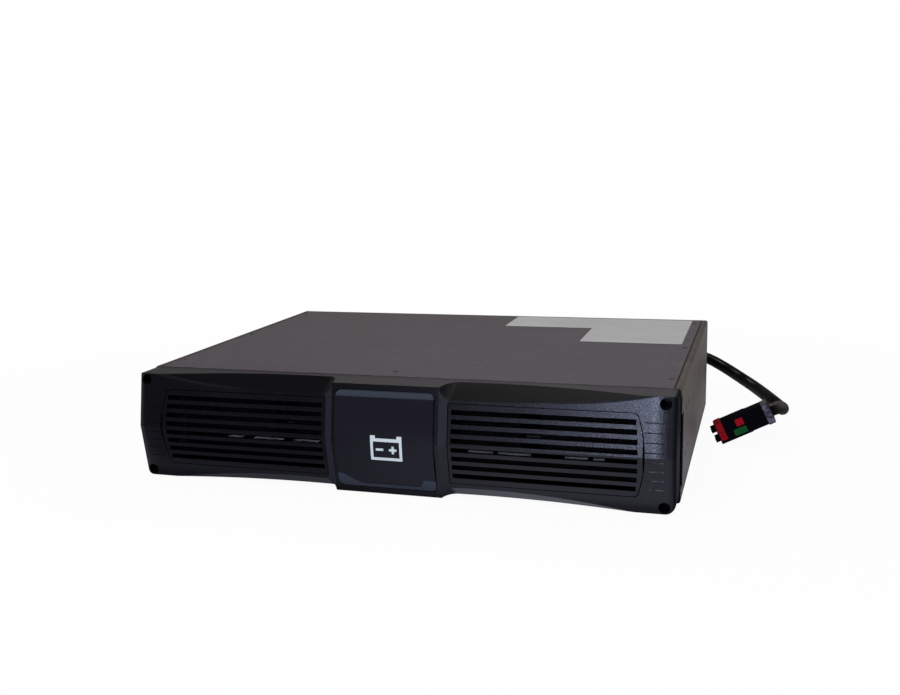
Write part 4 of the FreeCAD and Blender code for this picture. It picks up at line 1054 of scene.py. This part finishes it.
@dataclass
class FrontMoulding:
    """Moulded front with slotted inserts, gloss panel and the printed battery sign."""

    nose: float = -183.504 * MM
    bow_radius: float = 112.0 * MM
    bow_middle: float = 45.05 * MM
    sign_left: float = -10.5 * MM
    sign_low: float = 29.6 * MM
    sign_width: float = 25.6 * MM
    sign_height: float = 17.6 * MM
    side_bar: float = 2.15 * MM
    top_bar: float = 2.6 * MM
    low_bar: float = 2.3 * MM
    bump_width: float = 4.0 * MM
    bump_height: float = 2.2 * MM
    minus_share: float = 0.29
    plus_share: float = 0.71
    mark_span: float = 6.1 * MM
    mark_bar: float = 1.9 * MM
    ink: float = 0.08 * MM
    strip: float = 1.2 * MM
    dark: Colour = (0.0021, 0.0020, 0.0025)
    light: Colour = (0.0046, 0.0046, 0.0060)

    def bars(self) -> list[tuple[float, float, float, float]]:
        """Lay out the sign on the panel.

        Returns:
            Its rectangles: left, low, right, high.
        """
        left, low = self.sign_left, self.sign_low
        right, high = left + self.sign_width, low + self.sign_height
        inner_left, inner_right = left + self.side_bar, right - self.side_bar
        middle = (low + self.low_bar + high - self.top_bar) / 2
        minus = left + self.minus_share * self.sign_width
        plus = left + self.plus_share * self.sign_width
        half, bar = self.mark_span / 2, self.mark_bar / 2
        return [
            (left, low, inner_left, high),
            (inner_right, low, right, high),
            (inner_left, low, inner_right, low + self.low_bar),
            (inner_left, high - self.top_bar, inner_right, high),
            (left, high, left + self.bump_width, high + self.bump_height),
            (right - self.bump_width, high, right, high + self.bump_height),
            (minus - half, middle - bar, minus + half, middle + bar),
            (plus - half, middle - bar, plus - bar, middle + bar),
            (plus + bar, middle - bar, plus + half, middle + bar),
            (plus - bar, middle - half, plus + bar, middle + half),
        ]

    def surface(self, height: float) -> float:
        """Y of the panel's bowed face at a height."""
        rise = height - self.bow_middle
        return self.nose + self.bow_radius - math.sqrt(self.bow_radius ** 2 - rise ** 2)

    def sign(self, material: Material) -> Piece:
        """Make the sign as a thin layer of ink that follows the panel's bow.

        Args:
            material: Finish of the ink.

        Returns:
            The finished piece.
        """
        shape = bmesh.new()
        for left, low, right, high in self.bars():
            rows = max(1, round((high - low) / self.strip))
            corners = ((left, self.ink), (right, self.ink), (right, 0.0), (left, 0.0))
            rings = []
            for row in range(rows + 1):
                z = low + (high - low) * row / rows
                rings.append([shape.verts.new((x, self.surface(z) - lift, z)) for x, lift in corners])
            for below, above in zip(rings, rings[1:]):
                for side in range(len(corners)):
                    after = (side + 1) % len(corners)
                    shape.faces.new((below[side], below[after], above[after], above[side]))
            shape.faces.new(rings[0][::-1])
            shape.faces.new(rings[-1])
        piece = to_object("battery_sign", to_mesh("battery_sign", shape), material)
        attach(piece, BODY)
        return piece

    def build(self) -> list[Piece]:
        """Dress the mouldings and print the sign.

        Returns:
            The sign.
        """
        dress(["front_bezel"], SparkPlastic("spark_moulding", self.dark, self.light))
        slotted = SparkPlastic("slotted_moulding", self.dark, self.light, shaded=True)
        dress(["grille_left", "grille_right"], slotted)
        # The panel's second colour is its painted reflection.
        dress(["centre_panel"], GlossPanel("gloss_panel", (0.0088, 0.0082, 0.0108), (0.025, 0.030, 0.038)))
        return [self.sign(SignInk("sign_ink", (0.48, 0.53, 0.50)).make())]


@dataclass
class Fasteners:
    """Screws on the cover, front and rear; a size is head radius and height, shank radius and length."""

    cover_top: float = 88.0 * MM
    cover_side: float = 209.5 * MM
    cover_rows: Sequence[float] = (-115.5 * MM, 11.0 * MM, 137.5 * MM)
    cover_middle: Span = (-8.0 * MM, -128.5 * MM)
    front_seat: float = -149.504 * MM
    front_side: float = 210.9 * MM
    front_heights: Span = (5.6 * MM, 82.4 * MM)
    rear_seat: float = 159.496 * MM
    rear_side: float = 212.0 * MM
    rear_heights: Span = (14.0 * MM, 74.0 * MM)
    flush_size: tuple[float, ...] = (2.6 * MM, 1.2 * MM, 1.5 * MM, 6.9 * MM)
    pan_size: tuple[float, ...] = (2.75 * MM, 1.9 * MM, 1.5 * MM, 7.0 * MM)

    def build(self) -> list[Piece]:
        """Make the three rows of screws.

        Returns:
            The rows.
        """
        black = PlatedMetal("black_zinc", (0.010, 0.010, 0.011), (0.006, 0.006, 0.006), roughness=0.42).make()
        ends = (-1.0, 1.0)
        cover = [(end * self.cover_side, y, self.cover_top) for y in self.cover_rows for end in ends]
        cover.append((*self.cover_middle, self.cover_top))
        front = [(end * self.front_side, self.front_seat, z) for end in ends for z in self.front_heights]
        rear = [(end * self.rear_side, self.rear_seat, z) for end in ends for z in self.rear_heights]
        rows = (
            ("cover", Head.FLUSH, (0.0, 0.0, 1.0), cover, self.flush_size),
            ("bezel", Head.PAN, (0.0, -1.0, 0.0), front, self.pan_size),
            ("rear", Head.PAN, (0.0, 1.0, 0.0), rear, self.pan_size),
        )
        return [
            ScrewSet(
                f"{row}_screw_row", f"{row}_screws", "black_screw", head, axis, places, *size,
            ).build(black)
            for row, head, axis, places, size in rows
        ]


@dataclass
class BatteryBank:
    """Sealed blocks, tray, clamps, fuse and inner leads."""

    blocks: int = 6
    bare_runs: Sequence[Span] = (
        (-156.1 * MM, -142.8 * MM), (-132.0 * MM, -104.1 * MM), (-95.7 * MM, -72.8 * MM),
        (55.1 * MM, 76.2 * MM), (79.4 * MM, 105.7 * MM), (132.3 * MM, 150.7 * MM), (154.5 * MM, 162.9 * MM),
    )

    def build(self) -> None:
        """Dress everything inside the case."""
        zinc = PlatedMetal("zinc_plate", (0.72, 0.72, 0.70), (0.45, 0.45, 0.46), roughness=0.26)
        brass = PlatedMetal("tinned_brass", (0.74, 0.63, 0.36), (0.45, 0.36, 0.20), roughness=0.28)
        # The plate's near-black colour is painted shade inside the case; its bare runs are painted near white
        # as a highlight.
        plate = SheetEdge("plate_black", (0.002, 0.002, 0.0022), (0.95, 0.95, 0.93), self.bare_runs)
        # Painted shade: the battery tabs and link straps are coloured near black, as they sit in shade inside
        # the case.
        shaded_tin = PlatedMetal("shaded_tinned_lead", (0.045, 0.044, 0.042), (0.02, 0.02, 0.02), roughness=0.55)
        shell = MouldedPlastic("block_case", (0.003, 0.003, 0.0033), roughness=0.7, specular=0.03)
        dress(["battery_tray", "clamp_front", "clamp_rear", "clamp_screws", "plate_screws"], zinc)
        dress(["retaining_plate"], plate)
        dress(["socket_contacts", "earth_stud", "earth_nut"], brass)
        dress(["battery_tabs", "link_straps"], shaded_tin)
        dress([f"battery_block_{index + 1}" for index in range(self.blocks)], shell)
        dress(["foam_front", "foam_rear"], CellFoam("closed_cell_foam", (0.10, 0.10, 0.11)))
        dress(["fuse_base"], MouldedPlastic("fuse_holder", (0.12, 0.12, 0.12), roughness=0.5))
        ceramic = MouldedPlastic("fuse_ceramic", (0.78, 0.76, 0.70), roughness=0.22, relief=0.05)
        dress(["fuse_cartridge"], ceramic)
        red = RubberJacket("red_lead", (0.45, 0.03, 0.03), (0.5, 0.12, 0.1))
        dress(["lead_positive", "lead_fused"], red)
        dress(["lead_negative"], RubberJacket("black_lead", (0.02, 0.02, 0.02), (0.08, 0.08, 0.075)))
        dress(["lead_earth"], RubberJacket("green_lead", (0.10, 0.35, 0.08), (0.2, 0.4, 0.15)))


@dataclass
class BatteryLead:
    """Battery cable on its route from the gland to the connector, and the pieces on it."""

    diameter: float = 11.4 * MM
    length: float = 0.3756
    ring_steps: int = 8
    run_steps: int = 24
    hard_bend: Point = (0.2930, 0.0430, 0.0320)
    hard_bend_reach: float = 16.0 * MM

    def route(self) -> list[Point]:
        """Corners of the cable's route, from the gland's mouth to the connector's sleeve, in metres."""
        return [
            (0.122000, 0.183496, 0.046000), (0.122000, 0.212496, 0.046000), (0.136600, 0.238196, 0.045000),
            (0.161900, 0.253196, 0.042500), (0.191400, 0.253796, 0.038500), (0.217300, 0.239696, 0.033500),
            (0.236000, 0.212496, 0.029500), (0.253000, 0.176496, 0.027000), (0.266500, 0.140496, 0.026700),
            (0.276500, 0.106496, 0.027300), (0.286200, 0.066496, 0.029000), (0.293000, 0.046000, 0.028000),
            (0.290000, 0.036000, 0.033700), (0.282578, 0.035047, 0.030088),
        ]

    def cable(self, material: Material) -> Piece:
        """Make the cable as one smooth spline along its route.

        Args:
            material: Finish of the jacket.

        Returns:
            The finished piece.
        """
        curve = bpy.data.curves.new("battery_cable_line", "CURVE")
        curve.dimensions = "3D"
        curve.bevel_depth = self.diameter / 2
        curve.bevel_resolution = self.ring_steps
        curve.use_fill_caps = True
        spline = curve.splines.new("NURBS")
        corners = self.route()
        spline.points.add(len(corners) - 1)
        for point, corner in zip(spline.points, corners):
            point.co = (*corner, 1.0)
        spline.order_u = 3
        spline.use_endpoint_u = True
        spline.resolution_u = self.run_steps
        curve.materials.append(material)
        piece = link("battery_lead_cable", curve)
        log.info("piece %s: %d route points", piece.name, len(corners))
        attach(piece, BODY)
        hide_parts("battery_cable")
        return piece

    def build(self) -> list[Piece]:
        """Lay the cable and dress the connector.

        Returns:
            The cable.
        """
        jacket = RubberJacket(
            "cable_jacket", (0.0025, 0.0025, 0.0025), (0.10, 0.089, 0.075), bend=self.hard_bend,
            bend_reach=self.hard_bend_reach,
        )
        fitting = MouldedPlastic("black_fitting", (0.0018, 0.0018, 0.0024), roughness=0.75, specular=0.015)
        band = LabelFilm("band_film", (0.082, 0.079, 0.112), specular=0.08, mottle=0.9)
        red = MouldedPlastic("red_pole", (0.24, 0.002, 0.007), roughness=0.5, specular=0.05)
        green = MouldedPlastic("green_pole", (0.003, 0.055, 0.012), roughness=0.5, specular=0.05)
        fittings = [
            "cable_gland", "gland_nut", "gland_cap", "chain_socket", "connector_frame", "cable_sleeve",
        ]
        dress(fittings, fitting)
        dress(["sleeve_band"], band)
        dress(["poles_front", "pole_positive"], red)
        dress(["pole_earth"], green)
        return [self.cable(jacket.make())]


@dataclass
class Studio:
    """Pale floor, white surroundings, soft lamps and the camera of the photograph."""

    camera_place: Point = (0.27764, -0.90508, 0.26402)
    yaw: float = -0.317
    pitch: float = -0.192
    roll: float = -0.0275
    lens: float = 41.796
    sensor: float = 36.0
    shift: Span = (0.02083, 0.00468)
    clip: Span = (0.01, 50.0)
    floor_half: float = 6.0
    floor_level: float = -0.2 * MM
    floor_colour: Colour = (0.86, 0.86, 0.86)
    floor_glow: float = 0.94
    glow_reach: Span = (0.45, 0.95)
    bright_side: tuple[float, ...] = (-0.12, 0.15, 0.25, 1.8)
    bright_front: tuple[float, ...] = (-0.202, -0.193, 0.0, 0.6)
    behind: Span = (-0.1, 0.3)
    under_side: Span = (0.235, 0.215)
    under_middle: float = -0.012
    under_depth: Span = (0.175, 0.168)
    under_shade: float = 0.65
    cool: Colour = (0.78, 0.81, 1.0)
    ambient: float = 0.42
    room: float = 0.06
    backdrop_side: Span = (-0.05, 0.4)
    backdrop_height: Span = (0.34, 0.08)
    lamps: Sequence[tuple[str, Point, Point, Span, float, Colour]] = (
        ("key_lamp", (-0.25, -0.95, 1.45), (0.0, 0.0, 0.05), (2.0, 1.4), 14.0, WHITE),
        ("strip_lamp", (-0.6, -1.7, 1.22), (0.0, -0.18, 0.08), (0.5, 0.8), 1.9, (0.84, 0.9, 1.0)),
        ("rear_lamp", (0.0, 1.25, 1.5), (0.0, 0.0, 0.05), (1.3, 0.7), 9.0, WHITE),
        ("front_lamp", (0.195, -1.25, 0.2), (0.1, -0.18, 0.05), (0.16, 0.16), 8.0, (0.62, 0.69, 1.0)),
    )

    def camera(self) -> None:
        """Put the camera where the photograph was taken from."""
        level = Vector((math.cos(self.yaw), -math.sin(self.yaw), 0.0))
        flat = math.cos(self.pitch)
        ahead = Vector((math.sin(self.yaw) * flat, math.cos(self.yaw) * flat, math.sin(self.pitch)))
        upright = level.cross(ahead)
        right = level * math.cos(self.roll) + upright * math.sin(self.roll)
        up = upright * math.cos(self.roll) - level * math.sin(self.roll)
        data = bpy.data.cameras.new("photo_camera")
        data.sensor_fit = "HORIZONTAL"
        data.sensor_width = self.sensor
        data.lens = self.lens
        data.shift_x, data.shift_y = self.shift
        data.clip_start, data.clip_end = self.clip
        camera = link("photo_camera", data)
        turn = Matrix((right, up, -ahead)).transposed().to_4x4()
        camera.matrix_world = Matrix.Translation(self.camera_place) @ turn
        bpy.context.scene.camera = camera

    def lamp(self, name: str, place: Point, aim: Point, size: Span, power: float, colour: Colour) -> None:
        """Add a soft rectangular lamp.

        Args:
            name: Name of the lamp.
            place: Where it hangs.
            aim: The point that it faces.
            size: Its width and height.
            power: Its power in watts.
            colour: Its colour.
        """
        data = bpy.data.lights.new(name, "AREA")
        data.shape = "RECTANGLE"
        data.size, data.size_y = size
        data.energy = power
        data.color = colour
        lamp = link(name, data)
        lamp.location = place
        lamp.rotation_euler = (Vector(aim) - Vector(place)).to_track_quat("-Z", "Y").to_euler()

    @staticmethod
    def rays(bench: NodeBench) -> tuple[Signal, Signal]:
        """Tell apart the rays that reach a surface.

        Args:
            bench: Tree of the surface.

        Returns:
            Masks of the camera's own rays, and of rays from reflections and clear materials.
        """
        path = bench.node("ShaderNodeLightPath").outputs
        mirrored = Signal(bench, path["Is Glossy Ray"]).upper(Signal(bench, path["Is Transmission Ray"]))
        return Signal(bench, path["Is Camera Ray"]), mirrored

    def floor(self) -> None:
        """Pale floor that looks white and keeps the object's shadow; in reflections it glows as painted light
        that varies by place, with a painted shadow under the object.
        """
        half = self.floor_half
        corners = [(-half, -half, 0), (half, -half, 0), (half, half, 0), (-half, half, 0)]
        mesh = bpy.data.meshes.new("studio_floor")
        mesh.from_pydata(corners, [], [(0, 1, 2, 3)])
        paint = Paint("studio_floor")
        pale = paint.node("ShaderNodeBsdfDiffuse", None, {"Color": self.floor_colour}).outputs[0]
        glow = paint.node("ShaderNodeEmission", None, {"Color": WHITE, "Strength": 1.0}).outputs[0]
        across, deep = paint.along[:2]
        away = (across * across + deep * deep) ** 0.5
        camera, mirrored = self.rays(paint)
        share = camera * away.step(*self.glow_reach, self.floor_glow, 1.0)
        # Painted light in reflections: the floor glows brightest in front to the right, dim in front to the
        # left, cool in front and white behind, and a painted shadow darkens it under the object.
        front = across.step(*self.bright_side).upper(deep.step(*self.bright_front))
        behind = deep.step(*self.behind)
        under = abs(across).step(*self.under_side) * abs(deep - self.under_middle).step(*self.under_depth)
        level = (front + (1.0 - front) * behind) * (1.0 - under * self.under_shade)
        tint = paint.mix(behind, self.cool, WHITE)
        seen = paint.node("ShaderNodeEmission", None, {"Color": tint, "Strength": level}).outputs[0]
        shown = paint.between(share, pale, glow)
        mesh.materials.append(paint.close(paint.between(mirrored, shown, seen)))
        piece = link("studio_floor", mesh)
        piece.location = (0.0, 0.0, self.floor_level)

    def surroundings(self) -> None:
        """White background, a white backdrop behind the object in reflections, and soft light all round."""
        world = bpy.data.worlds.new("studio_world")
        world.use_nodes = True
        bench = NodeBench(world.node_tree)
        camera, mirrored = self.rays(bench)
        way = bench.split(bench.node("ShaderNodeTexCoord").outputs["Generated"])
        backdrop = way[1].step(*self.backdrop_side) * way[2].step(*self.backdrop_height)
        level = camera.upper(mirrored * (self.room + backdrop * (1.0 - self.room)))
        level = level.upper((1.0 - camera.upper(mirrored)) * self.ambient)
        light = bench.node("ShaderNodeBackground", None, {"Color": WHITE, "Strength": level}).outputs[0]
        bench.node("ShaderNodeOutputWorld", None, {"Surface": light})
        world.cycles.sampling_method = "NONE"
        bpy.context.scene.world = world

    def build(self) -> None:
        """Set the whole stage."""
        bpy.context.scene.view_settings.view_transform = "Standard"
        self.camera()
        self.floor()
        self.surroundings()
        for row in self.lamps:
            self.lamp(*row)


def main() -> None:
    """Build the sub-assemblies in order."""
    logging.basicConfig(level=logging.INFO, format="%(name)s: %(message)s")
    Studio().build()
    pieces = BatteryLead().build()
    pieces += SteelCase().build()
    pieces += FrontMoulding().build()
    pieces += Fasteners().build()
    BatteryBank().build()
    log.info("%d new pieces", len(pieces))


if __name__ == "__main__":
    main()
